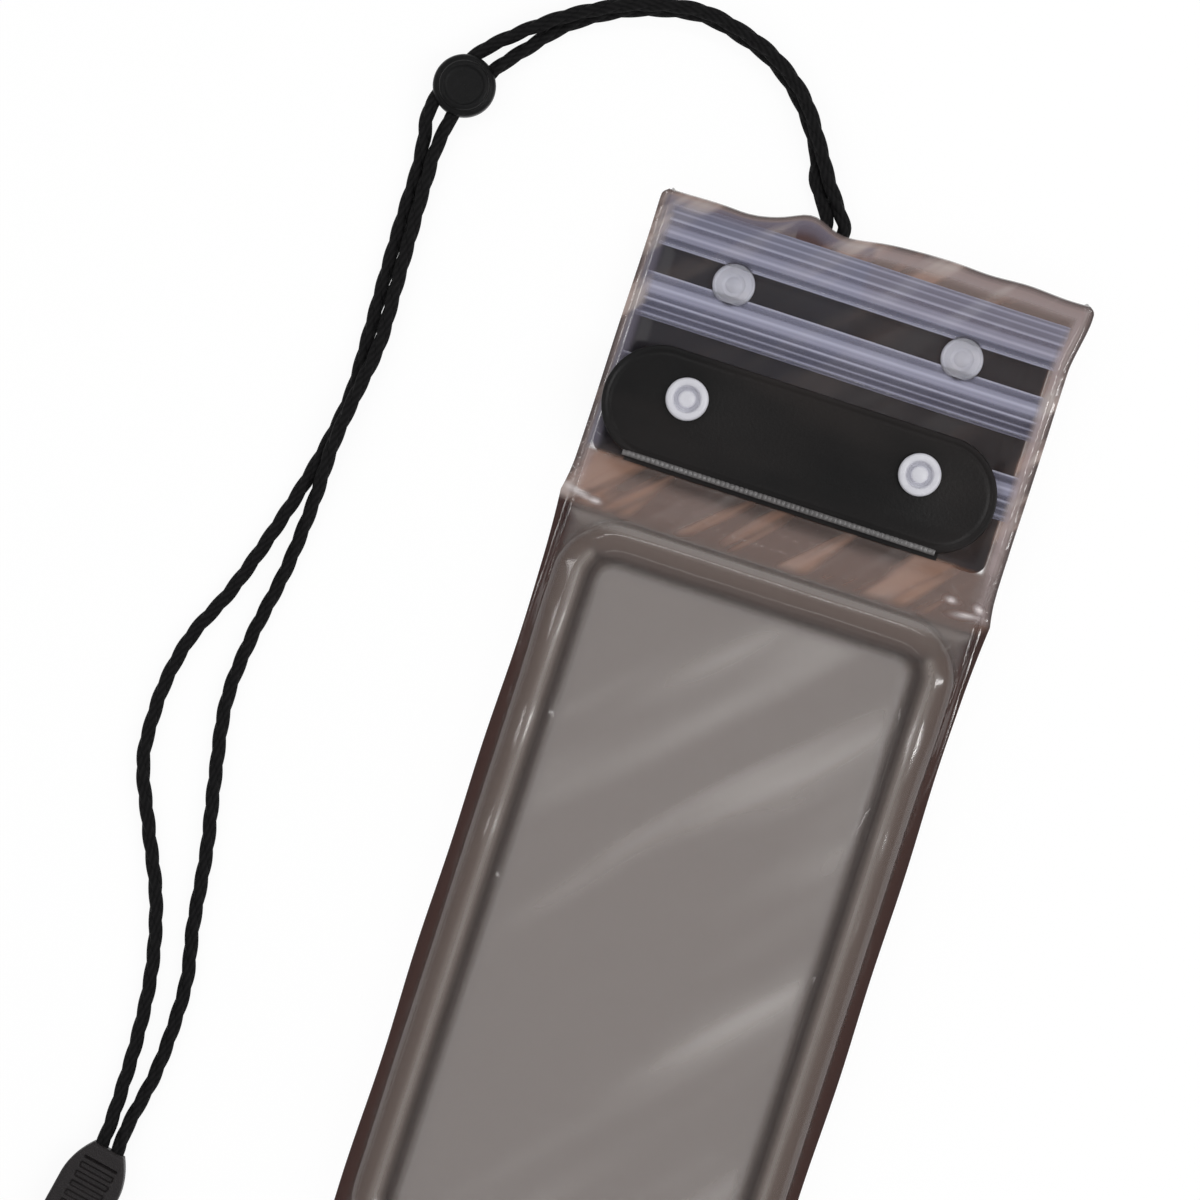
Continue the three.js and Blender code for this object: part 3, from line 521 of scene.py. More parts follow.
def mouth_flare(x, y):
    """The right corner of the mouth spreads outwards a little, where nothing stiffens the film."""
    return 1.5 * smooth(y, 107.0, 118.0) * smooth(x, 34.0, 46.0)


def neck_folds(x, y):
    """Height of the folds in the front film, above its flat level."""
    between = smooth(y, NECK_Y, NECK_Y + 3) * (1 - smooth(y, 64.0, 68.0))
    long_one = 1.1 * ridge(y, 58.2 - 0.035 * x + 0.5 * wander(x, 0 * x, 50.0, 11), 1.3)
    low_one = 0.9 * ridge(y, 54.3 + 0.02 * x, 1.0) * (0.6 + 0.4 * wander(x, y, 30.0, 12))
    slanted = 0.7 * ridge(wander(x + 2.2 * y, 0.2 * y, 22.0, 13), 0.4, 0.3)
    folds = between * (long_one + low_one + slanted)
    over_bands = sum(
        0.16 * (1 - smooth(np.abs(y - middle), ZIP_HALF_BAND, ZIP_HALF_BAND + 0.7)) for middle in ZIP_Y
    )
    waves = 0.16 * (1 + wander(x, 2.5 * y, 38.0, 14)) * smooth(y, NECK_Y, NECK_Y + 4)
    near_side = smooth(np.abs(x), 33.0, 43.0)
    fold = 1.5 * ridge(y, NECK_Y + 0.9, 0.8) * (0.3 + 0.7 * near_side)
    groove = -1.1 * ridge(y, NECK_Y + 2.9, 0.8) * near_side
    return folds + over_bands + waves + (fold + groove) * smooth(HALF_WIDTH - np.abs(x), 0, 3)


print("zips at y:", ZIP_Y)

# %% [markdown]
# A cloth simulation could blow the cushion up, but its section is known: it rises from the weld like a
# quarter of an ellipse, and falls to the window in the same way. Written as a height over each point, it
# is exact and quick. The back film is a shallow tray in the same manner.

# %% Front and back levels
def front_level(x, y):
    """The upper side of the front film: cushion, window, and the folds of the neck."""
    rim = rim_level(x, y, FRONT_SEAM_Z, FRONT_NECK_Z)
    half = CUSHION_WIDTH / 2
    depth = depth_in_body(x, y) - SEAM
    crest = CREST_Z + 0.22 * wander(x, y, 26.0, 21) - 0.2
    outer = rim + (crest - rim) * ellipse_rise(depth / half)
    window = WINDOW_Z + 0.1 * wander(x, y, 34.0, 22) + 0.1
    inner = window + (crest - window) * ellipse_rise((CUSHION_WIDTH - depth) / half)
    body = np.where(depth <= half, outer, inner)
    in_neck = smooth(y, NECK_Y - 4, NECK_Y)
    folds = neck_folds(x, y)
    return body + folds * np.where(y > NECK_Y - 4, np.maximum(in_neck, 0.3), 0)


def back_level(x, y):
    """The upper side of the back film: a shallow tray under the body, and the neck's level above it."""
    rim = rim_level(x, y, BACK_SEAM_Z, BACK_NECK_Z)
    depth = depth_in_body(x, y) - SEAM
    floor = FILM + 0.1 * (1 + wander(x, y, 30.0, 31))
    return rim + (floor - rim) * ellipse_rise(depth / FLOOR_EDGE)


print("cushion's crest at", CREST_Z, "mm, window at", WINDOW_Z, "mm")

# %% [markdown]
# A film becomes a mesh as a fine grid whose lines sit close together where the cushion is steep. Each
# point of the upper side has a twin one film thickness below it, along the surface's own normal, so the
# sheet has an even thickness and a real edge.

# %% Grid lines for the films
def steep_lines(start, width, count):
    """Places from start to start + width, closest together at the start."""
    steps = np.linspace(0, 1, count, endpoint=False)
    return start + width * (1 - np.cos(steps * math.pi / 2))


side_insets = np.concatenate([
    [0, 0.3, 0.8, 1.2, 1.6, 2.0], steep_lines(SEAM, 4.5, 11),
    SEAM + CUSHION_WIDTH - steep_lines(0, 4.5, 11)[::-1], [12.2, 13.2, 14.4, 16.0, 17.8],
])
middle_insets = np.linspace(19.8, 2 * HALF_WIDTH - 19.8, 40)
film_columns = np.concatenate([side_insets, middle_insets, 2 * HALF_WIDTH - side_insets[::-1]])
film_columns = np.sort(film_columns) / HALF_WIDTH - 1
body_rows = np.concatenate([
    BOTTOM_Y + side_insets, np.linspace(BOTTOM_Y + 19, NECK_Y - 19, 80), NECK_Y - side_insets[::-1],
])
neck_rows = np.concatenate([
    np.arange(NECK_Y + 0.4, 66, 0.42), np.arange(66, 117.6, 0.7),
    MOUTH_Y - steep_lines(0, 2.0, 6)[::-1],
])
film_rows = np.concatenate([body_rows, neck_rows])
print("film grid:", len(film_rows), "rows by", len(film_columns), "columns")

# %% [markdown]
# Where the neck is bent over, short white glints are painted into the film's colour as highlights. They
# are a colour that the mesh carries, and so are the other marks that the finish reads: tint with its
# painted light, veil, calm and painted sheen. Marks on the mesh stay in place from every side, which
# light alone wouldn't do.

# %% From a level to a film
# Painted highlights along the neck's fold: x, y, half length, turn in degrees
PAINTED_GLINTS = [
    (-43.7, 50.6, 3.2, -13), (-40.2, 50.0, 1.2, -8), (38.4, 53.3, 1.1, -6), (44.6, 53.0, 1.0, -30),
    (42.0, 50.9, 2.4, 8),
]
PAINTED_GLINT_WIDTH = 0.6


def painted_fold_glints(x, y):
    """How much painted highlight the film has at each point, from its list of places."""
    total = 0 * x
    for glint_x, glint_y, half_length, turn in PAINTED_GLINTS:
        cos, sin = math.cos(math.radians(turn)), math.sin(math.radians(turn))
        along = (x - glint_x) * cos + (y - glint_y) * sin
        away = (y - glint_y) * cos - (x - glint_x) * sin
        total = np.maximum(total, ridge(along, 0, half_length) * ridge(away, 0, PAINTED_GLINT_WIDTH))
    return total


# At a round corner the two directions of the grid nearly meet, so a little of straight up is added
UPWARD = 0.15


def film_sheet(name, level, stands_for, veil, tint, finish):
    """One film: its upper side at the level's height, and its lower side a film's thickness below."""
    u, y = np.meshgrid(film_columns, film_rows)
    x = u * (half_width(y) + 0.22 * wander(y, 0 * y, 34.0, 41))
    z = level(x, y)
    inset = np.minimum(half_width(y) - np.abs(x), np.minimum(y - BOTTOM_Y, MOUTH_Y - y))
    upper = np.stack([x + mouth_flare(x, y), y + mouth_shift(x, y), z], -1)
    across_y, across_x = np.gradient(upper, axis=(0, 1))
    normal = np.cross(across_x, across_y)
    normal /= (np.linalg.norm(across_x, axis=2) * np.linalg.norm(across_y, axis=2))[:, :, None]
    normal += (0, 0, UPWARD)
    normal /= np.linalg.norm(normal, axis=2)[:, :, None]
    lower = upper - FILM * normal
    points = np.concatenate([upper.reshape(-1, 3), lower.reshape(-1, 3)])
    # White glints painted at the neck's fold
    glint = painted_fold_glints(x, y)
    foot = ridge(depth_in_body(x, y), SEAM + CUSHION_WIDTH, 1.8) * (y < NECK_Y - 4)
    calm = np.maximum(1 - smooth(inset, 1.5, 6.0), foot)
    marks = {
        "veil": np.concatenate([veil(x, y, inset).ravel(), 0.6 * veil(x, y, inset).ravel()]),
        # The tint holds the film's colour together with its painted highlights and painted shade
        "tint": np.tile(tint(x, y, inset).reshape(-1, 3), (2, 1)),
        "neck": np.tile(smooth(y, NECK_Y - 2.4, NECK_Y).ravel(), 2),
        "calm": np.tile(calm.ravel(), 2),
        "glint": np.tile(glint.ravel(), 2),
        # The window, where the painted sheen goes
        "sheen": np.tile(smooth(depth_in_body(x, y), 12.0, 15.0).ravel(), 2),
    }
    return piece(
        name, points, grid_faces(len(film_rows), len(film_columns)), finish,
        stands_for, marks, sharp=60,
    )


# The number of painted highlights along the fold
print("stretched places:", len(PAINTED_GLINTS))

# %% [markdown]
# Clear vinyl is a mixture of what is behind it and its own faint, smoky body. Alpha says how much of
# the body shows, and it changes over the sheet: more at the welded edge, where two films make one, and
# less over the black strip. The gloss stays sharp, because a clear film has a polished surface. Painted
# reflections go into its colour too: pale streaks in the neck and a soft sheen on the window.

# %% Film finish
PAINTED_STREAK_TURN = math.radians(-46)


def film_finish(name, painted_streak):
    """Clear smoky vinyl, with painted reflections: streaks of the given colour in the neck and a soft
    painted sheen on the window.
    """
    made = Finish(name, Roughness=0.13, Specular_IOR_Level=0.55, Coat_Weight=0.35, Coat_Roughness=0.05)
    neck, glint = made.mark("neck"), made.mark("glint")
    slanted = made.node(
        "ShaderNodeVectorRotate", {"rotation_type": "Z_AXIS"},
        {"Vector": made.place(), "Angle": PAINTED_STREAK_TURN},
    )
    drawn_out = made.node(
        "ShaderNodeVectorMath", {"operation": "MULTIPLY"}, {0: slanted, 1: (0.25, 2.0, 1.0)}
    )
    # Pale streaks in the neck, which are painted reflections
    painted_streaks = made.grain(85.0, 2.5, drawn_out).clear(0.48, 0.66)
    # A soft painted sheen on the window
    sheen = made.grain(34.0, 1.5, drawn_out).clear(0.5, 0.8) * made.mark("sheen")
    with_painted_streaks = made.mix(painted_streaks * neck * 0.9, made.mark("tint", "Color"), tone(*painted_streak))
    with_painted_sheen = made.mix(sheen * 0.8, with_painted_streaks, tone(214, 208, 204))
    made.set({
        # White glints painted at the fold, in colour and in alpha
        "Base_Color": made.mix(glint, with_painted_sheen, tone(250, 242, 242)),
        "Alpha": made.mark("veil") * (1 + 0.1 * painted_streaks * neck) + 0.07 * sheen + 0.7 * glint,
    })
    waves = made.grain(110.0, 1.5, made.stretched(1.0, 0.6, 1.0))
    made.relief(waves * (1 - made.mark("calm")), 0.0003)
    return made


front_finish = film_finish("front_vinyl", (200, 188, 184))
back_finish = film_finish("back_vinyl", (178, 138, 118))
print("finishes:", front_finish.material.name, back_finish.material.name)

# %% [markdown]
# The film's colour is darkest where it turns down to the weld, partly the doubled film's own colour and
# partly painted shade. The pale band on the cushion's crest is a painted highlight, and the dark line at
# the window's edge is painted shade. Those bands run along the outline, so a short list of distances and
# colours gives each of them. The veil is the share of the film's colour: the rest shows what lies behind.

# %% Bands of colour
# Distance in from an edge, in millimetres, and the film's colour there, painted highlights and shade
# included
SIDE_BANDS_WITH_PAINTED_LIGHT = [
    (0.0, (60, 31, 25)), (1.6, (70, 38, 30)), (2.8, (78, 48, 39)), (3.8, (104, 86, 78)),
    (6.2, (110, 94, 86)), (7.0, (136, 125, 119)), (7.7, (160, 151, 145)), (8.4, (138, 127, 121)),
    (9.3, (88, 76, 71)), (10.6, (40, 34, 32)), (12.0, (74, 62, 57)), (14.0, (112, 97, 90)),
]
TOP_BANDS_WITH_PAINTED_LIGHT = [
    (0.0, (120, 92, 80)), (2.2, (114, 88, 78)), (2.7, (62, 46, 40)), (3.2, (134, 123, 117)),
    (3.8, (168, 160, 156)), (4.8, (158, 149, 144)), (5.8, (116, 101, 94)), (8.8, (106, 91, 84)),
    (10.2, (96, 83, 78)), (11.4, (44, 37, 35)), (12.6, (74, 62, 57)), (14.4, (112, 97, 90)),
]
NECK_BANDS_WITH_PAINTED_LIGHT = [
    (0.0, (84, 72, 72)), (0.8, (150, 134, 132)), (1.5, (168, 150, 148)), (2.8, (190, 174, 174)),
    (4.2, (160, 142, 138)), (5.2, (128, 100, 88)),
]
BACK_BODY_BANDS = [
    (0.0, (50, 27, 22)), (3.0, (64, 40, 33)), (5.0, (88, 68, 60)), (14.0, (100, 80, 71)),
]
BACK_NECK_BANDS = [(0.0, (60, 38, 32)), (2.0, (88, 56, 43)), (5.0, (96, 59, 43))]


def banded(distance, bands):
    """The bands' colours at those distances, in linear light."""
    places = [place for place, _ in bands]
    colours = np.array([tone(*colour) for _, colour in bands])
    return np.stack([np.interp(distance, places, channel) for channel in colours.T], -1)


def blend(share, first, second):
    """The first colour where share is 0 and the second where it is 1."""
    return first + (second - first) * share[..., None]


print("bands of colour:", len(SIDE_BANDS_WITH_PAINTED_LIGHT), len(TOP_BANDS_WITH_PAINTED_LIGHT), len(NECK_BANDS_WITH_PAINTED_LIGHT))

# %% [markdown]
# A film's colour is looked up by how far a point lies from the nearest edge or fold. The back film has
# one
# more dark line just below the flap: a painted shadow of the flap's edge.

# %% Tints of the films
def front_tint_and_painted_light(x, y, inset):
    """The front film's colour by distance from the side, the neck's fold or the mouth, with painted
    highlights and painted shade in its bands.
    """
    from_top = NECK_Y - y
    top = smooth(HALF_WIDTH - np.abs(x) - from_top, -2.5, 0.5) * (y > -40)
    body = blend(top, banded(depth_in_body(x, y), SIDE_BANDS_WITH_PAINTED_LIGHT), banded(from_top, TOP_BANDS_WITH_PAINTED_LIGHT))
    bands_end = smooth(y, 60.0, 62.0) * (x < 0) * smooth(inset, 0.8, 1.6)
    neck = blend(bands_end, banded(inset, NECK_BANDS_WITH_PAINTED_LIGHT), np.array(tone(120, 114, 130)))
    return blend(smooth(y, NECK_Y - 0.6, NECK_Y + 0.6), body, neck)


FLAP_X, FLAP_LOW = -2.4, 60.1


def painted_flap_shadow(x, y):
    """A painted shadow of the flap's edge, on the film just below it."""
    return ridge(y, FLAP_LOW - 1.3, 1.7) * smooth(40.0 - np.abs(x - FLAP_X), 0, 6.0)


def back_tint_and_painted_shadow(x, y, inset):
    """The back film's colour, which is warmer in the neck and carries the painted shadow below the flap.
    """
    in_neck = smooth(y, NECK_Y - 3.0, NECK_Y)
    # The flap's painted shadow, as a dark colour just below it
    neck = blend(0.85 * painted_flap_shadow(x, y), banded(inset, BACK_NECK_BANDS), np.array(tone(40, 30, 27)))
    return blend(in_neck, banded(inset, BACK_BODY_BANDS), neck)


MID_WINDOW = np.array([[0.0], [-40.0], [40.0]])
print("front film in the middle of the window:", front_tint_and_painted_light(*MID_WINDOW)[0].round(3))

# %% [markdown]
# A film shows most along its welds and on the cushion, where it is seen at a slant. Behind and before
# the black strip it is thin and tight, and hardly shows at all.

# %% Veils of the films
def over_strip(x, y):
    """1 over the black strip, where the film is thin and tight and hardly shows."""
    inside = smooth(x, -45.6, -44.6) * (1 - smooth(x, 42.6, 43.6))
    return inside * smooth(y, 60.0, 61.0) * (1 - smooth(y, 108.0, 109.0))


def front_veil(x, y, inset):
    """How much the front film shows: most at its welds and on the cushion."""
    depth = depth_in_body(x, y)
    in_body = 1 - smooth(y, NECK_Y - 2, NECK_Y + 2)
    at_edge = 1 - smooth(inset, 1.2, 4.2)
    ring = smooth(depth, 2.0, 4.0) * (1 - smooth(depth, 11.0, 12.6)) * in_body
    beside_strip = smooth(y, 60.0, 62.0) * smooth(inset, 0.6, 1.4) * (1 - smooth(inset, 3.0, 4.4))
    in_neck = 0.1 - 0.07 * over_strip(x, y) + 0.26 * beside_strip
    open_film = in_neck + (0.18 - in_neck) * in_body
    edge_share = 0.42 + 0.22 * in_body
    return open_film + edge_share * at_edge + 0.42 * ring * (1 - at_edge)


def back_veil(x, y, inset):
    """How much the back film shows: everywhere but behind the black strip."""
    at_edge = 1 - smooth(inset, 1.0, 4.5)
    in_window = smooth(depth_in_body(x, y), 10.5, 13.0) * (1 - smooth(y, NECK_Y - 8, NECK_Y))
    # Under the flap's painted shadow the film also shows more, which darkens it
    open_film = 0.79 + 0.08 * at_edge - 0.16 * in_window + 0.12 * painted_flap_shadow(x, y)
    return open_film * (1 - over_strip(x, y)) + 0.04


veils = front_veil(*MID_WINDOW)[0], back_veil(*MID_WINDOW)[0]
print("veils in the middle of the window:", [round(float(veil), 2) for veil in veils])

# %% [markdown]
# With its grid, its levels and its marks ready, each film is one call. A clear film casts hardly any
# shadow, and a ray of light passes only a few clear layers in Blender, so these layers leave it alone.

# %% The two films
front = film_sheet("front_vinyl", front_level, ("front_film",), front_veil, front_tint_and_painted_light, front_finish)
back = film_sheet("back_vinyl", back_level, ("back_film",), back_veil, back_tint_and_painted_shadow, back_finish)
for film in (front, back):
    film.visible_shadow = False

# %% [markdown]
# The air cushion is closed by a second film on its inside, a flat ring round the window. Its edges are
# rectangles with round corners, so a helper first gives the points round one of those.

# %% Round-cornered rectangle
def round_rectangle(left, low, right, high, corner, per_corner, per_side):
    """Points round a rectangle with round corners, counter-clockwise."""
    centres = [
        (right - corner, low + corner, -90), (right - corner, high - corner, 0),
        (left + corner, high - corner, 90), (left + corner, low + corner, 180),
    ]
    points = []
    for i, (cx, cy, first) in enumerate(centres):
        for angle in np.radians(np.linspace(first, first + 90, per_corner)):
            points.append((cx + corner * math.cos(angle), cy + corner * math.sin(angle)))
        next_x, next_y, turn = centres[(i + 1) % 4]
        angle = math.radians(turn)
        target = (next_x + corner * math.cos(angle), next_y + corner * math.sin(angle))
        start = points[-1]
        for share in np.linspace(0, 1, per_side + 2)[1:-1]:
            points.append((
                start[0] + share * (target[0] - start[0]), start[1] + share * (target[1] - start[1]),
            ))
    return np.array(points)


print("points round a small one:", len(round_rectangle(-2, -3, 2, 3, 0.5, 4, 2)))

# %% [markdown]
# The liner is made of rings of points, each a little further in than the last, down its upper side and
# back along its underside. Between its two welds it sags a little.

# %% Cushion liner
LINER_INSETS = [3.6, 4.2, 6.0, 8.0, 10.0, 11.4, 12.4, 12.8]
LINER_Z, LINER_SAG = 9.3, 0.25


def liner():
    """The ring of film under the cushion, sagging a little between its two welds."""
    rings = []
    for inset in LINER_INSETS:
        flat = round_rectangle(
            -HALF_WIDTH + inset, BOTTOM_Y + inset, HALF_WIDTH - inset, NECK_Y - inset,
            CUSHION_CORNER - inset, 12, 40,
        )
        across_ring = (inset - LINER_INSETS[0]) / (LINER_INSETS[-1] - LINER_INSETS[0])
        sag = LINER_SAG * (1 + wander(flat[:, 0], flat[:, 1], 24.0, 51))
        z = LINER_Z - sag * math.sin(math.pi * across_ring)
        rings.append(np.column_stack([flat, z]))
    lower = [ring - (0, 0, FILM) for ring in rings[::-1]]
    loops = rings + lower
    count = len(rings[0])
    faces = []
    for i in range(len(loops)):
        this, following = i * count, ((i + 1) % len(loops)) * count
        for k in range(count):
            m = (k + 1) % count
            faces.append((this + k, this + m, following + m, following + k))
    points = np.concatenate(loops)
    everywhere = np.ones(len(points))
    marks = {
        "veil": 0.08 * everywhere, "tint": np.outer(everywhere, tone(126, 112, 106)),
        "neck": 0 * everywhere, "calm": 0 * everywhere, "glint": 0 * everywhere,
        "sheen": 0 * everywhere,
    }
    return piece("cushion_vinyl", points, faces, front_finish, ("cushion_liner",), marks)


cushion = liner()
cushion.visible_shadow = False

# %% [markdown]
# Each zip is a pair of extruded bands. Seen through the film they are milky, with fine dark lines where
# the ribs and grooves lie, and pale lines that are painted highlights. Extrusions are easy to make as one
# closed section pushed along X, and the lines come both from small ridges on the outer faces and from the
# finish.

# %% Zip finish
# Distance across the band from its middle, in millimetres, and how pale the band is painted there, its
# highlight lines included
ZIP_LINES_AND_PAINTED_HIGHLIGHTS = [
    (-4.9, 150), (-4.5, 60), (-4.0, 176), (-3.6, 96), (-2.9, 66), (-2.5, 176), (-2.1, 66), (-1.3, 78),
    (-0.8, 214), (-0.4, 84), (0.1, 112), (0.9, 176), (2.0, 206), (2.9, 166), (3.4, 78), (4.3, 116),
    (4.9, 216),
]
zip_finish = Finish("zip_band", Roughness=0.22, Specular_IOR_Level=0.7, Coat_Weight=0.4)
across = zip_finish.mark("across")
zip_stops = [
    ((place + ZIP_HALF_BAND) / (2 * ZIP_HALF_BAND), tone(pale - 6, pale - 6, pale + 16))
    for place, pale in ZIP_LINES_AND_PAINTED_HIGHLIGHTS
]
lines_and_painted_highlights = zip_finish.node(
    "ShaderNodeValToRGB", {"stops": zip_stops}, {"Fac": (across + ZIP_HALF_BAND) / (2 * ZIP_HALF_BAND)}
)
fine = (across * 5.4 + 1.0).wave()
# Painted highlights that grow and fade along the band
painted_highlight_drift = zip_finish.grain(16.0, 2.0, zip_finish.stretched(0.5, 3.0, 1.0)).clear(0.36, 0.66)
shaded = zip_finish.mix(fine * 0.34, lines_and_painted_highlights, tone(76, 76, 98))
bright = zip_finish.mark("bright")
lifted = zip_finish.mix(bright * 0.38, shaded, tone(188, 190, 214))
zip_finish.set({
    "Base_Color": zip_finish.mix(painted_highlight_drift * 0.35, lifted, tone(186, 187, 210)),
    "Alpha": (0.3 + 0.9 * lines_and_painted_highlights + 0.1 * painted_highlight_drift + 0.3 * bright) * (1 - zip_finish.mark("over_cap")),
})
print("lines across a zip:", len(ZIP_LINES_AND_PAINTED_HIGHLIGHTS))

# %% [markdown]
# The inner faces interlock: two arrow-shaped ribs on one band press in between the hooks of the other.
# Both sections are lists of points, so the real profile is there when the mouth is seen from its end.

# %% Zip sections
def arrow(middle):
    """The rib's section: a stem and a head wider than it."""
    return [
        (middle - 0.25, 0), (middle - 0.25, -0.95), (middle - 0.65, -0.95), (middle - 0.3, -1.38),
        (middle + 0.3, -1.38), (middle + 0.65, -0.95), (middle + 0.25, -0.95), (middle + 0.25, 0),
    ]


def hook(middle):
    """The groove's section: two walls with lips that turn inwards."""
    return [
        (middle - 1.45, 0), (middle - 1.4, 1.4), (middle - 0.6, 1.4), (middle - 0.55, 1.05),
        (middle - 0.95, 1.0), (middle - 0.95, 0), (middle + 0.95, 0), (middle + 0.95, 1.0),
        (middle + 0.55, 1.05), (middle + 0.6, 1.4), (middle + 1.4, 1.4), (middle + 1.45, 0),
    ]


def ridged_back(level, direction):
    """The outer face of a band, from one edge to the other, with a ridge over each rib or hook."""
    places = [-4.9, -4.5, -4.1, -3.2, -2.8, -2.4, -2.0, -1.6, -0.5, 0, 0.5]
    heights = [0, 0.14, 0, 0, 0.14, 0.05, 0.14, 0, 0, 0.12, 0]
    half = [(y, level + direction * h) for y, h in zip(places, heights)]
    other = [(-y, z) for y, z in half[:8][::-1]]
    return half + other


print("points in the sections:", len(arrow(0)), len(hook(0)), len(ridged_back(0, 1)))

# %% [markdown]
# A band is its section pushed along X in short steps, which lets it sway a little as the films do. Each
# point carries how far across the band it lies, and the finish draws its lines there. Over a snap's cap
# the band is worn clear, and the top zip is paler where it runs past the strip.

# %% Zip bands
ZIP_HALF_LENGTH, ZIP_STATIONS = 44.7, 180
ZIP_EDGE, ZIP_BASE, RIB_PLACE = 4.5, 0.4, 2.4
RIB_Z, GROOVE_Z = 8.5, 6.8
STRIP_SNAP_X = {"left": -26.4, "right": 24.8}
STRIP_SNAP_Y = 102.85
CAP_RADIUS = 4.6
STRIP_TOP = 110.6


def zip_band(name, middle, level, inner, outer, stands_for):
    section = np.array(inner + outer[::-1])
    if inner[0][1] > 0:
        section = section[::-1]
    stations = np.linspace(-ZIP_HALF_LENGTH, ZIP_HALF_LENGTH, ZIP_STATIONS)
    points, across, over_cap, bright = [], [], [], []
    for x in stations:
        sway = 0.18 * float(wander(x, 0.0, 60.0, 61))
        for y, z in section:
            points.append((x, middle + y + sway, level + z))
            across.append(y if middle < ZIP_Y[0] else -y)
            near = min(
                math.hypot(x - cap_x, middle + y - STRIP_SNAP_Y) for cap_x in STRIP_SNAP_X.values()
            )
            over_cap.append(1 - smooth(near, CAP_RADIUS, CAP_RADIUS + 0.5))
            bright.append(smooth(middle + y, STRIP_TOP, STRIP_TOP + 2.0))
    faces = ring_faces(len(stations), len(section))
    marks = {"across": across, "over_cap": over_cap, "bright": bright}
    band = piece(name, points, faces, zip_finish, stands_for, marks, sharp=35)
    band.visible_shadow = False
    return band


for number, middle in enumerate(ZIP_Y, start=1):
    for word, level, shape, up in (("rib", RIB_Z, arrow, 1), ("groove", GROOVE_Z, hook, -1)):
        lip = -up * ZIP_BASE
        inner = [(-ZIP_HALF_BAND, lip), (-ZIP_EDGE, lip), (-ZIP_EDGE, 0)]
        inner += shape(-RIB_PLACE) + shape(RIB_PLACE)
        inner += [(ZIP_EDGE, 0), (ZIP_EDGE, lip), (ZIP_HALF_BAND, lip)]
        zip_band(
            f"zip_{number}_{word}_band", middle, level, inner, ridged_back(up * ZIP_BASE, up),
            (f"zip_{number}_{word}s",),
        )

# %% [markdown]
# The flap and the strip are the same soft black sheet. The flap is held by its weld along the lower
# edge and by its two snaps, so it droops a little between and beyond them. Black vinyl isn't pure
# black: it has a fine leather-like grain and a broad soft shine.

# %% Black sheet finish
def sheet(name, dark, pale, pore_depth):
    made = Finish(name, Specular_IOR_Level=0.26)
    pores = made.grain(1500.0, 3.0)
    cloud = made.grain(38.0, 2.0, made.stretched(0.6, 1.5, 1.0))
    made.set({
        "Base_Color": made.mix(cloud.clear(0.3, 0.75), dark, pale),
        "Roughness": 0.3 + 0.2 * cloud,
    })
    made.relief(pores * 0.5 + cloud * 0.8, pore_depth)
    return made


flap_finish = sheet("flap_sheet", tone(7, 6, 7), tone(31, 26, 25), 0.0001)
strip_finish = sheet("strip_sheet", tone(40, 42, 47), tone(54, 55, 60), 0.00002)
print("finishes:", flap_finish.material.name, strip_finish.material.name)

# %% [markdown]
# Flap, strip, weld line and clip are all closed sheets between two levels. One function makes them from
# rows of points, each as wide as the outline there. The points crowd towards the edges, where a sheet is
# rounded, and are few in its flat middle.

# %% A sheet with rounded edges
def crowded(count):
    """Numbers from -1 to 1, close together near both ends."""
    return np.sin(np.linspace(-math.pi / 2, math.pi / 2, count))


def plate(name, rows, half, centre, top, bottom, finish, stands_for=(), place=None, marks=None,
          columns=None, sharp=40):
    """A closed sheet between two levels. half gives its half width in each row."""
    spread = crowded(90) if columns is None else columns
    u, y = np.meshgrid(spread, rows)
    wide = half(y)
    x = u * wide
    points = []
    for level in (top, bottom):
        layer = np.stack([x + centre, y, level(x, y, wide)], -1)
        points.append(layer.reshape(-1, 3))
    points = np.concatenate(points)
    faces = grid_faces(len(rows), len(spread))
    if place is not None:
        points, flipped = place(points)
        faces = [face[::-1] for face in faces] if flipped else faces
    extra = {key: np.concatenate([value(x, y).ravel()] * 2) for key, value in (marks or {}).items()}
    return piece(name, points, faces, finish, stands_for, extra, sharp=sharp)


def rows_between(low, high, count):
    return (low + high) / 2 + (high - low) / 2 * crowded(count)


print("columns of a sheet:", len(crowded(90)))

# %% [markdown]
# The flap is a long bar with round ends, cut straight along its weld. It hangs from its weld and its
# snaps, so it is lifted round each snap and droops elsewhere. A shallow groove follows its free edge.

# %% Flap
FLAP_Y, FLAP_HIGH = 73.7, 86.3
FLAP_END, FLAP_CHORD = 12.6, 11.9
FLAP_REACH = 87.2 / 2 - FLAP_END
FLAP_Z = 11.2
SHEET = 0.8
SNAP_X = {"left": -28.35, "right": 23.55}
SNAP_Y = 76.4


def flap_half(y):
    chord = FLAP_Y - FLAP_CHORD
    rise = np.clip(y, chord, FLAP_HIGH) - FLAP_Y
    return FLAP_REACH + np.sqrt(np.clip(FLAP_END**2 - rise**2, 0, None)) - 0.2 * (y < chord)


def flap_depth(x, y):
    """How far a point lies in from the flap's edge."""
    past = np.maximum(np.abs(x) - FLAP_REACH, 0)
    return np.minimum(FLAP_END - np.hypot(past, y - FLAP_Y), y - FLAP_LOW)


def flap_drape(x, y):
    """The level of the flap's underside: highest at its snaps."""
    near_snap = sum(
        np.exp(-(((x + FLAP_X - snap) / 9) ** 2) - ((y - SNAP_Y) / 9) ** 2) for snap in SNAP_X.values()
    )
    droop = 0.55 * (1 - np.clip(near_snap, 0, 1)) * smooth(y, 63.0, 68.0)
    return FLAP_Z - droop - 0.75 * (1 - smooth(y, 60.0, 63.5)) + 0.12 * wander(x, y, 22.0, 71)


def flap_top(x, y, wide):
    depth = flap_depth(x, y)
    border = 0.16 * ridge(depth, 1.5, 0.45)
    return flap_drape(x, y) + SHEET - rounded(depth, 0.35) - border


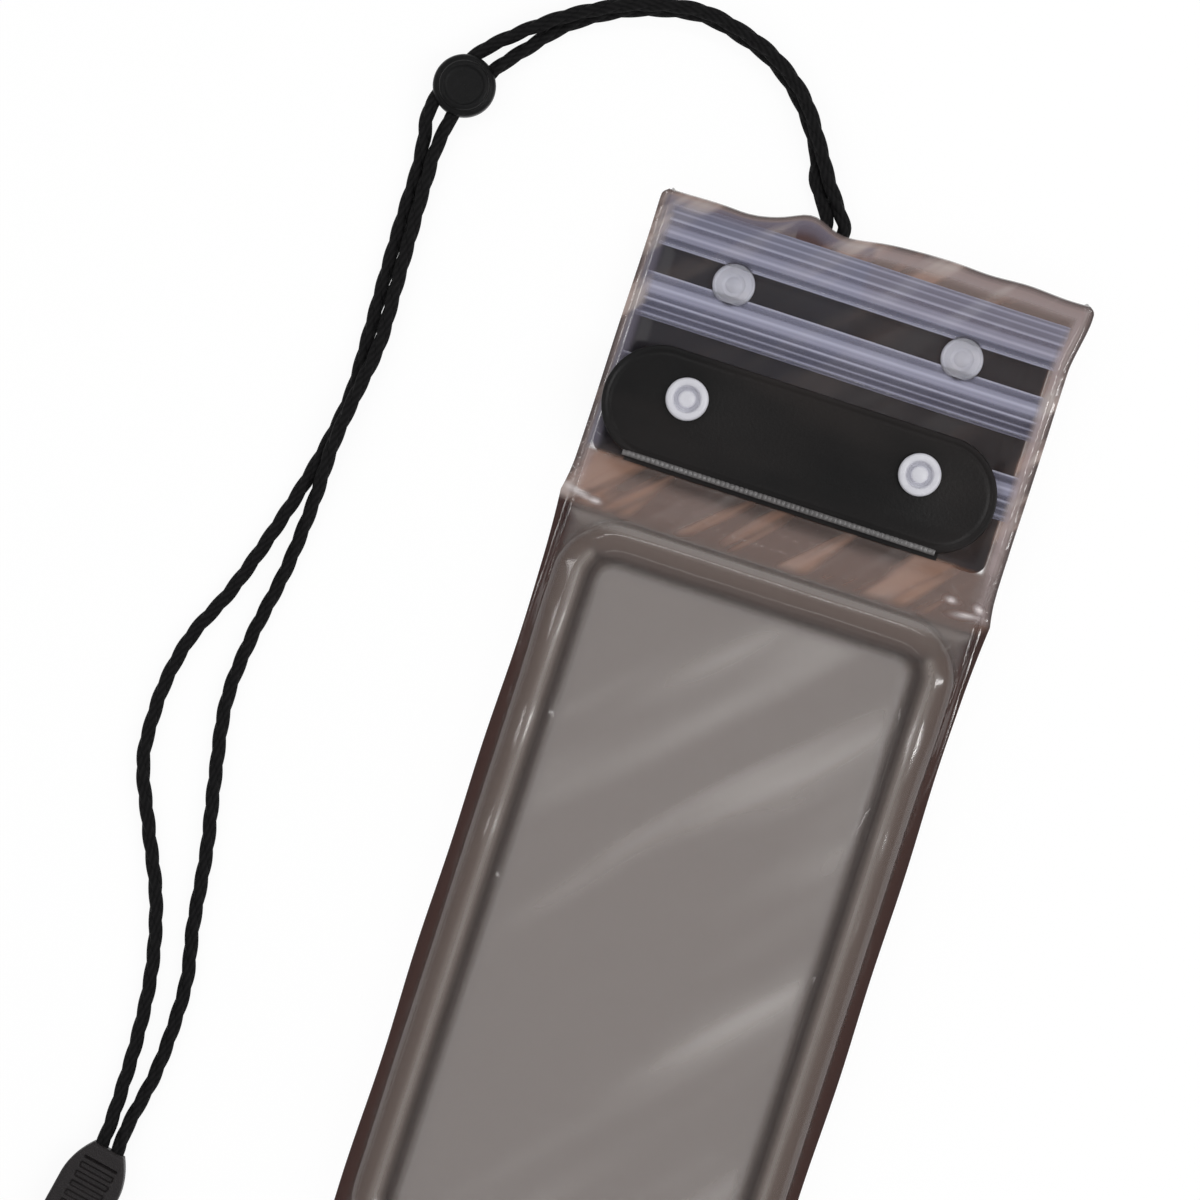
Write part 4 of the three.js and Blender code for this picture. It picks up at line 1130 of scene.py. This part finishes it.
plate(
    "black_flap", rows_between(FLAP_LOW, FLAP_HIGH, 90), flap_half, FLAP_X, flap_top,
    lambda x, y, wide: flap_drape(x, y), flap_finish, ("snap_flap",),
    columns=crowded(200),
)

# %% [markdown]
# A heated tool pressed the flap's lower edge onto the pouch and left a ribbed grey line. Its teeth are
# real relief, because they catch the light one by one.

# %% Ribbed weld
weld_finish = Finish("weld_line", Roughness=0.34, Specular_IOR_Level=0.7)
speck = weld_finish.grain(900.0)
weld_finish.set({"Base_Color": weld_finish.mix(speck, tone(62, 60, 60), tone(128, 125, 125))})
WELD_X, WELD_HALF = -3.1, 34.9
WELD_LOW, WELD_HIGH = 61.0, 62.3
WELD_PITCH, WELD_TOOTH = 1.05, 0.3


def weld_top(x, y, wide):
    teeth = WELD_TOOTH * np.abs(np.cos(math.pi * x / WELD_PITCH)) * np.clip(wide - np.abs(x), 0, 1)
    from_edge = np.minimum(y - WELD_LOW, WELD_HIGH - y)
    return FLAP_Z + SHEET - 0.25 + teeth - rounded(from_edge, 0.3)


plate(
    "flap_weld", rows_between(WELD_LOW, WELD_HIGH, 9), lambda y: np.full_like(y, WELD_HALF), WELD_X,
    weld_top, lambda x, y, wide: 0 * x + FLAP_Z + 0.2, weld_finish,
    columns=np.linspace(-1, 1, 401),
)

# %% [markdown]
# The strip is the flap's partner: a stiff black backing behind the neck that carries the studs. It is
# welded along its rim, so the rim is lifted to the film and the middle lies lower, with slow waves.

# %% Back strip
STRIP_X, STRIP_HALF = -0.8, 44.0
STRIP_LOW, STRIP_HIGH, STRIP_CORNER = 60.0, 110.0, 3.0
STRIP_Z, STRIP_LIFT = 3.3, 1.1


def strip_half(y):
    inside = np.minimum(np.minimum(y - STRIP_LOW, STRIP_HIGH - y), STRIP_CORNER)
    square = np.clip(STRIP_CORNER**2 - (STRIP_CORNER - inside) ** 2, 0, STRIP_CORNER**2)
    return STRIP_HALF - STRIP_CORNER + np.sqrt(square)


def strip_drape(x, y):
    """The level of the strip's underside: highest along its welded rim."""
    rim = np.minimum(STRIP_HALF - np.abs(x), np.minimum(y - STRIP_LOW, STRIP_HIGH - y))
    lifted = STRIP_LIFT * (1 - smooth(rim, 1.6, 5.0))
    near_snap = sum(
        np.exp(-(((x + STRIP_X - snap) / 8) ** 2) - ((y - STRIP_SNAP_Y) / 8) ** 2)
        for snap in STRIP_SNAP_X.values()
    )
    wave = 0.25 * (1 + wander(x, y, 28.0, 81)) * (1 - np.clip(near_snap, 0, 1))
    return STRIP_Z + lifted + wave * smooth(rim, 2.0, 6.0)


def strip_top(x, y, wide):
    return strip_drape(x, y) + SHEET - rounded(wide - np.abs(x), 0.3)


plate(
    "black_strip", rows_between(STRIP_LOW, STRIP_HIGH, 80), strip_half, STRIP_X, strip_top,
    lambda x, y, wide: strip_drape(x, y), strip_finish, ("back_strip",),
    columns=crowded(130),
)

# %% [markdown]
# Snap fasteners are round, so each is a profile turned about an upright axis. The flap carries the
# sockets, white, with a sunken ring round a small middle. The strip carries the studs, and between the
# strip and the film sit their low milky caps.

# %% Moulded plastic finishes
def moulded(name, dark, pale, roughness, scale=300.0, depth=0.00006, gloss=0.55):
    made = Finish(name, Roughness=roughness, Specular_IOR_Level=gloss)
    cloud = made.grain(scale, 3.0)
    made.set({
        "Base_Color": made.mix(cloud, dark, pale),
        "Roughness": roughness - 0.06 + 0.14 * cloud,
    })
    made.relief(made.grain(scale * 6, 2.0), depth)
    return made


white_plastic = moulded("white_plastic", tone(216, 215, 224), tone(246, 246, 252), 0.34)
milky_plastic = moulded("milky_plastic", tone(204, 206, 222), tone(242, 242, 252), 0.4)
# A grey plastic for the painted shadow in each socket's sunken ring
painted_shadow_plastic = moulded("painted_ring_shadow", tone(182, 182, 193), tone(210, 210, 218), 0.45)
black_plastic = moulded("black_plastic", tone(5, 5, 6), tone(14, 14, 15), 0.38, 500.0, 0.0001, 0.22)
clip_plastic = moulded("clip_plastic", tone(28, 25, 26), tone(44, 39, 40), 0.5, 420.0, 0.00014, 0.35)
print("moulded finishes:", 5)

# %% [markdown]
# Blender has a Screw modifier for turned shapes. Placing the rings of points directly gives the same
# surface and keeps each ring where the drawing has it, with no modifier left to apply.

# %% Turn a profile
AXIS = 0.02


def turned(name, profile, x, y, finish, stands_for=(), sides=64, sharp=38):
    """A closed profile of (radius, level) points, turned about an upright axis at x, y."""
    rings = len(profile)
    points = []
    for radius, level in profile:
        for k in range(sides):
            angle = 2 * math.pi * k / sides
            points.append((x + radius * math.cos(angle), y + radius * math.sin(angle), level))
    faces = []
    for i in range(rings):
        j = (i + 1) % rings
        for k in range(sides):
            m = (k + 1) % sides
            faces.append((i * sides + k, i * sides + m, j * sides + m, j * sides + k))
    return piece(name, points, faces, finish, stands_for, sharp=sharp)


def flap_cap_profile(low, high, head):
    """A low dome, a pin up from it, and the pin's spread head."""
    tall = high - low
    crown = [
        (CAP_RADIUS * math.cos(t), low + tall * (0.35 + 0.65 * math.sin(t)))
        for t in np.linspace(0, 1.35, 9)
    ]
    rim = [(AXIS, low), (4.3, low), (CAP_RADIUS, low + 0.3 * tall)]
    spread = [
        (1.72, head), (1.78, head + 0.14), (1.6, head + 0.34), (1.1, head + 0.47), (AXIS, head + 0.5),
    ]
    return rim + crown + [(1.0, high), (1.0, head)] + spread


strip_cap_profile = [
    (AXIS, 0.6), (0.75, 0.65), (1.0, 0.9), (1.0, 4.4), (4.4, 4.4), (4.6, 4.65), (4.6, 4.95),
    (4.45, 5.25), (4.1, 5.4), (3.8, 5.28), (3.4, 5.4), (2.5, 5.45), (2.2, 5.22), (1.75, 5.22),
    (1.5, 5.42), (AXIS, 5.46),
]
print("points in a cap's profile:", len(strip_cap_profile))

# %% [markdown]
# A snap is set by pushing the cap's pin through the sheet and through the socket, and spreading its end.
# The pin's round head is what shows in the middle of the socket, inside a grey disc of painted shadow
# laid in the sunken ring.

# %% Flap sockets and caps
socket_profile = [
    (1.2, 12.3), (4.2, 12.3), (4.5, 12.4), (4.6, 12.65), (4.6, 13.5), (4.5, 13.95), (4.25, 14.2),
    (3.9, 14.3), (3.3, 14.28), (3.05, 14.15), (2.9, 13.9), (2.84, 13.1), (2.65, 12.82), (2.0, 12.78),
    (1.86, 13.0), (1.8, 13.3), (1.65, 13.42), (1.3, 13.42), (1.2, 13.3),
]
for side, x in SNAP_X.items():
    turned(
        f"white_socket_{side}", socket_profile, x, SNAP_Y, white_plastic,
        (f"flap_socket_{side}",),
    )
    turned(
        f"white_cap_{side}", flap_cap_profile(9.9, 10.9, 13.46), x, SNAP_Y, white_plastic,
        (f"flap_cap_{side}",),
    )
    # A thin grey disc on the recess floor, as painted shadow
    painted_shadow_ring = [(1.9, 12.8), (2.6, 12.84), (2.6, 12.9), (1.9, 12.88)]
    turned(f"socket_painted_shadow_ring_{side}", painted_shadow_ring, x, SNAP_Y, painted_shadow_plastic)

# %% [markdown]
# The studs face backwards, away from the camera: when the neck is rolled over, they meet the sockets.
# Their waisted heads are turned like the rest, and their caps are seen through the film.

# %% Strip caps and studs
stud_profile = [
    (1.2, 0.0), (1.9, 0.0), (2.3, 0.12), (2.58, 0.45), (2.6, 0.85), (2.4, 1.3), (2.12, 1.6),
    (2.1, 2.2), (4.4, 2.25), (4.6, 2.4), (4.6, 2.85), (4.45, 3.0), (1.2, 3.0),
]
for side, x in STRIP_SNAP_X.items():
    turned(
        f"milky_stud_{side}", stud_profile, x, STRIP_SNAP_Y, milky_plastic,
        (f"strip_stud_{side}",),
    )
    turned(
        f"milky_cap_{side}", strip_cap_profile, x, STRIP_SNAP_Y, milky_plastic,
        (f"strip_cap_{side}",),
    )

# %% [markdown]
# The slider is a moulded bead with a raised round face, turned like the snaps. Its profile has a small
# step below the face, which is what catches the light as a ring.

# %% Cord slider
SLIDER_X, SLIDER_Y = -94.2, 125.6
SLIDER_TURN = math.radians(-25)
bead_profile = [
    (AXIS, 0.0), (4.9, 0.0), (5.9, 0.35), (6.5, 1.1), (6.75, 2.1), (6.75, 4.9), (6.55, 5.5),
    (6.1, 5.9), (5.55, 6.0), (5.4, 6.05), (5.35, 6.75), (5.15, 7.05), (4.75, 7.2), (4.3, 7.15),
    (4.1, 6.95), (3.6, 6.88), (AXIS, 6.85),
]
slider = turned(
    "slider_bead", bead_profile, SLIDER_X, SLIDER_Y, black_plastic, ("cord_slider",)
)

# %% [markdown]
# Both cords run through the slider, so it has two bores. A Boolean modifier cuts a mesh with another
# one, here a plain cylinder. The modifiers are applied at once, so that the mesh itself has the bores,
# and the cylinders are removed.

# %% Bores of the slider
BORE_OUT, BORE_Z, BORE_RADIUS, BORE_HALF_LENGTH = 2.5, 3.6, 1.75, 9.0
BORE_SIDES = 24


def cylinder_cutter(x, y, z, radius, half_length, turn):
    """A plain cylinder across the slider, which is only used to cut with."""
    points = []
    for end in (-half_length, half_length):
        for k in range(BORE_SIDES):
            angle = 2 * math.pi * k / BORE_SIDES
            across_bore, up = radius * math.cos(angle), radius * math.sin(angle)
            points.append((
                x + across_bore * math.cos(turn) - end * math.sin(turn),
                y + across_bore * math.sin(turn) + end * math.cos(turn),
                z + up,
            ))
    mesh = bpy.data.meshes.new("cutter")
    mesh.from_pydata((np.array(points) * MM).tolist(), [], ring_faces(2, BORE_SIDES))
    cutter = bpy.data.objects.new("cutter", mesh)
    bpy.context.scene.collection.objects.link(cutter)
    return cutter


def bored(target, cutters):
    """Cuts the cylinders out of the target, for good, and removes them."""
    for cutter in cutters:
        change = target.modifiers.new("bore", "BOOLEAN")
        change.operation = "DIFFERENCE"
        change.solver = "EXACT"
        change.object = cutter
    graph = bpy.context.evaluated_depsgraph_get()
    cut_mesh = bpy.data.meshes.new_from_object(target.evaluated_get(graph))
    target.modifiers.clear()
    target.data = cut_mesh
    for cutter in cutters:
        bpy.data.objects.remove(cutter)
    print(target.name, "bored:", len(cut_mesh.polygons), "faces")


bored(slider, [
    cylinder_cutter(
        SLIDER_X + side * BORE_OUT * math.cos(SLIDER_TURN),
        SLIDER_Y + side * BORE_OUT * math.sin(SLIDER_TURN),
        BORE_Z, BORE_RADIUS, BORE_HALF_LENGTH, SLIDER_TURN,
    )
    for side in (-1, 1)
])

# %% [markdown]
# The end clip is two moulded halves with a thin joint line between them. Each has a sunken panel with
# seven grip ribs between two side rails. All of it is one height over the clip's outline, which keeps
# every edge softly rounded.

# %% End clip
CLIP_X, CLIP_Y, CLIP_MIDDLE_Z = -96.1, -113.6, 3.5
CLIP_TURN = math.radians(-11)
CLIP_LENGTH, CLIP_HALF_WIDTH = 22.0, 6.8
CLIP_TAPER, CLIP_TAPER_LENGTH = 3.2, 9.0
CLIP_CORNER = 4.0
CLIP_TOP = 3.35
GRIP_LOW, GRIP_HIGH, GRIP_HALF, GRIP_RIBS = -18.8, -3.2, 4.0, 7
GRIP_DEPTH, GRIP_RIB_HEIGHT = 0.75, 0.62


def clip_half(y):
    """Half the clip's width at y, which tapers towards the cords."""
    toward_mouth = np.clip(1 + y / CLIP_TAPER_LENGTH, 0, 1)
    wide = CLIP_HALF_WIDTH - CLIP_TAPER * toward_mouth**2
    corner = np.clip(-CLIP_LENGTH + CLIP_CORNER - y, 0, CLIP_CORNER)
    return wide - (CLIP_CORNER - np.sqrt(CLIP_CORNER**2 - corner**2))


def clip_top(x, y, wide):
    depth = np.minimum(wide - np.abs(x), np.minimum(-y, y + CLIP_LENGTH))
    from_rail = np.minimum(y - GRIP_LOW, GRIP_HIGH - y)
    panel = smooth(GRIP_HALF - np.abs(x), 0, 0.3) * smooth(from_rail, 0, 0.3)
    pitch = (GRIP_HIGH - GRIP_LOW) / GRIP_RIBS
    phase = ((y - GRIP_LOW) / pitch) % 1.0
    rib = smooth(0.5 - np.abs(phase - 0.5), 0.18, 0.34)
    return CLIP_TOP - rounded(depth, 0.9) - panel * (GRIP_DEPTH - GRIP_RIB_HEIGHT * rib)


def clip_place(points, face_down):
    """Turns a half over where it is the back one, and moves it to the end of the cords."""
    turned_points = points.copy()
    if face_down:
        turned_points[:, 2] *= -1
    cos, sin = math.cos(CLIP_TURN), math.sin(CLIP_TURN)
    x = CLIP_X + turned_points[:, 0] * cos - turned_points[:, 1] * sin
    y = CLIP_Y + turned_points[:, 0] * sin + turned_points[:, 1] * cos
    return np.column_stack([x, y, turned_points[:, 2] + CLIP_MIDDLE_Z]), face_down


clip_rows = np.unique(np.concatenate([
    -CLIP_LENGTH + steep_lines(0, 1.0, 6), np.linspace(-21, -1, 120), -steep_lines(0, 1.0, 6),
]))
for word, face_down in (("front", False), ("back", True)):
    plate(
        f"clip_half_{word}", clip_rows, clip_half, 0.0, clip_top,
        lambda x, y, wide: 0 * x + 0.15 + 0.12 * (1 - smooth(wide - np.abs(x), 0, 0.3)),
        clip_plastic, (f"end_clip_{word}",),
        place=lambda points, down=face_down: clip_place(points, down),
        columns=crowded(70), sharp=50,
    )

# %% [markdown]
# The anchor keeps its packed shape, which already has its two bores. A Bevel modifier softens its edges
# as moulding does, and it takes the same black plastic as the slider.

# %% Anchor
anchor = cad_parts["lanyard_anchor"]
anchor.data.materials.clear()
anchor.data.materials.append(black_plastic.material)
join = anchor.modifiers.new("joined_corners", "WELD")
join.merge_threshold = 0.01 * MM
soften = anchor.modifiers.new("soft_edges", "BEVEL")
soften.width = 0.2 * MM
soften.segments = 2
soften.limit_method = "ANGLE"
print("anchor:", [change.name for change in anchor.modifiers])

# %% [markdown]
# The two cords are laid last, after the slider and the clip.

# %% The two cords
rope("outer_cord", routes["outer_cord"], ("outer_cord_upper", "outer_cord_lower"))
rope(
    "inner_cord", routes["inner_cord"], ("inner_cord_upper", "inner_cord_lower"),
)

# %% [markdown]
# The floor is plain and pale, and a part of its brightness is its own, so that the picture's ground is
# white while it still keeps a soft shadow. The lamps stand well to the sides: a flat glossy film seen
# from above mirrors the sky, and only the cushion's slopes should catch the lamps.

# %% Floor
OWN_GLOW, GLOW_STRENGTH = 0.86, 1.06
FLOOR_REACH, FLOOR_DROP = 3.0, 0.0001
floor_finish = Finish("floor", Base_Color=tone(238, 238, 238), Roughness=0.9, Specular_IOR_Level=0.1)
path = [
    floor_finish.node("ShaderNodeLightPath", output=name)
    for name in ("Is Camera Ray", "Is Glossy Ray", "Is Transmission Ray")
]
seen = (path[0] + path[1] + path[2]).clear(0.0, 1.0)
glow = floor_finish.node(
    "ShaderNodeEmission", values={"Color": (1.0, 1.0, 1.0), "Strength": GLOW_STRENGTH}
)
lit = Shade(floor_finish, floor_finish.surface.outputs[0])
ground = floor_finish.node("ShaderNodeMixShader", values={0: seen * OWN_GLOW, 1: lit, 2: glow})
output_node = floor_finish.nodes["Material Output"]
floor_finish.put(output_node.inputs["Surface"], ground)

floor_mesh = bpy.data.meshes.new("floor")
corners = [
    (side * FLOOR_REACH, end * FLOOR_REACH, 0) for side, end in ((-1, -1), (1, -1), (1, 1), (-1, 1))
]
floor_mesh.from_pydata(corners, [], [(0, 1, 2, 3)])
floor_mesh.materials.append(floor_finish.material)
floor = bpy.data.objects.new("floor", floor_mesh)
floor.location = (0, 0, -FLOOR_DROP)
bpy.context.scene.collection.objects.link(floor)
print("floor:", 2 * FLOOR_REACH, "m wide")

# %% [markdown]
# Long narrow lamps leave long narrow highlights on the cushion's slopes, as windows do. The sky fills
# the rest evenly, at a level where a colour renders about as it is written.

# %% Lamps and sky
SKY_STRENGTH = 0.36


def lamp(name, power, width, height, place, aim):
    """A rectangular lamp at a place in metres, turned towards the aim."""
    light = bpy.data.lights.new(name, "AREA")
    light.shape = "RECTANGLE"
    light.size, light.size_y = width, height
    light.energy = power
    made = bpy.data.objects.new(name, light)
    made.location = place
    look = np.array(aim) - np.array(place)
    look = look / np.linalg.norm(look)
    made.rotation_euler = (math.acos(-look[2]), 0, math.atan2(look[0], -look[1]) + math.pi)
    bpy.context.scene.collection.objects.link(made)
    return made


CENTRE = (0.0, 0.0, 0.0)
lamp("key_right", 3.0, 0.06, 0.9, (0.62, 0.12, 0.85), CENTRE)
lamp("fill_left", 1.2, 0.06, 0.9, (-0.62, 0.1, 0.85), CENTRE)
lamp("top", 1.2, 0.9, 0.07, (-0.1, 0.7, 0.85), CENTRE)
lamp("low", 0.6, 0.9, 0.12, (0.0, -0.75, 0.75), CENTRE)

world = bpy.data.worlds.new("sky")
world.use_nodes = True
sky = world.node_tree
background = sky.nodes["Background"]
background.inputs["Color"].default_value = (1.0, 1.0, 1.0, 1.0)
background.inputs["Strength"].default_value = SKY_STRENGTH
bpy.context.scene.world = world
bpy.context.scene.view_settings.view_transform = "Standard"
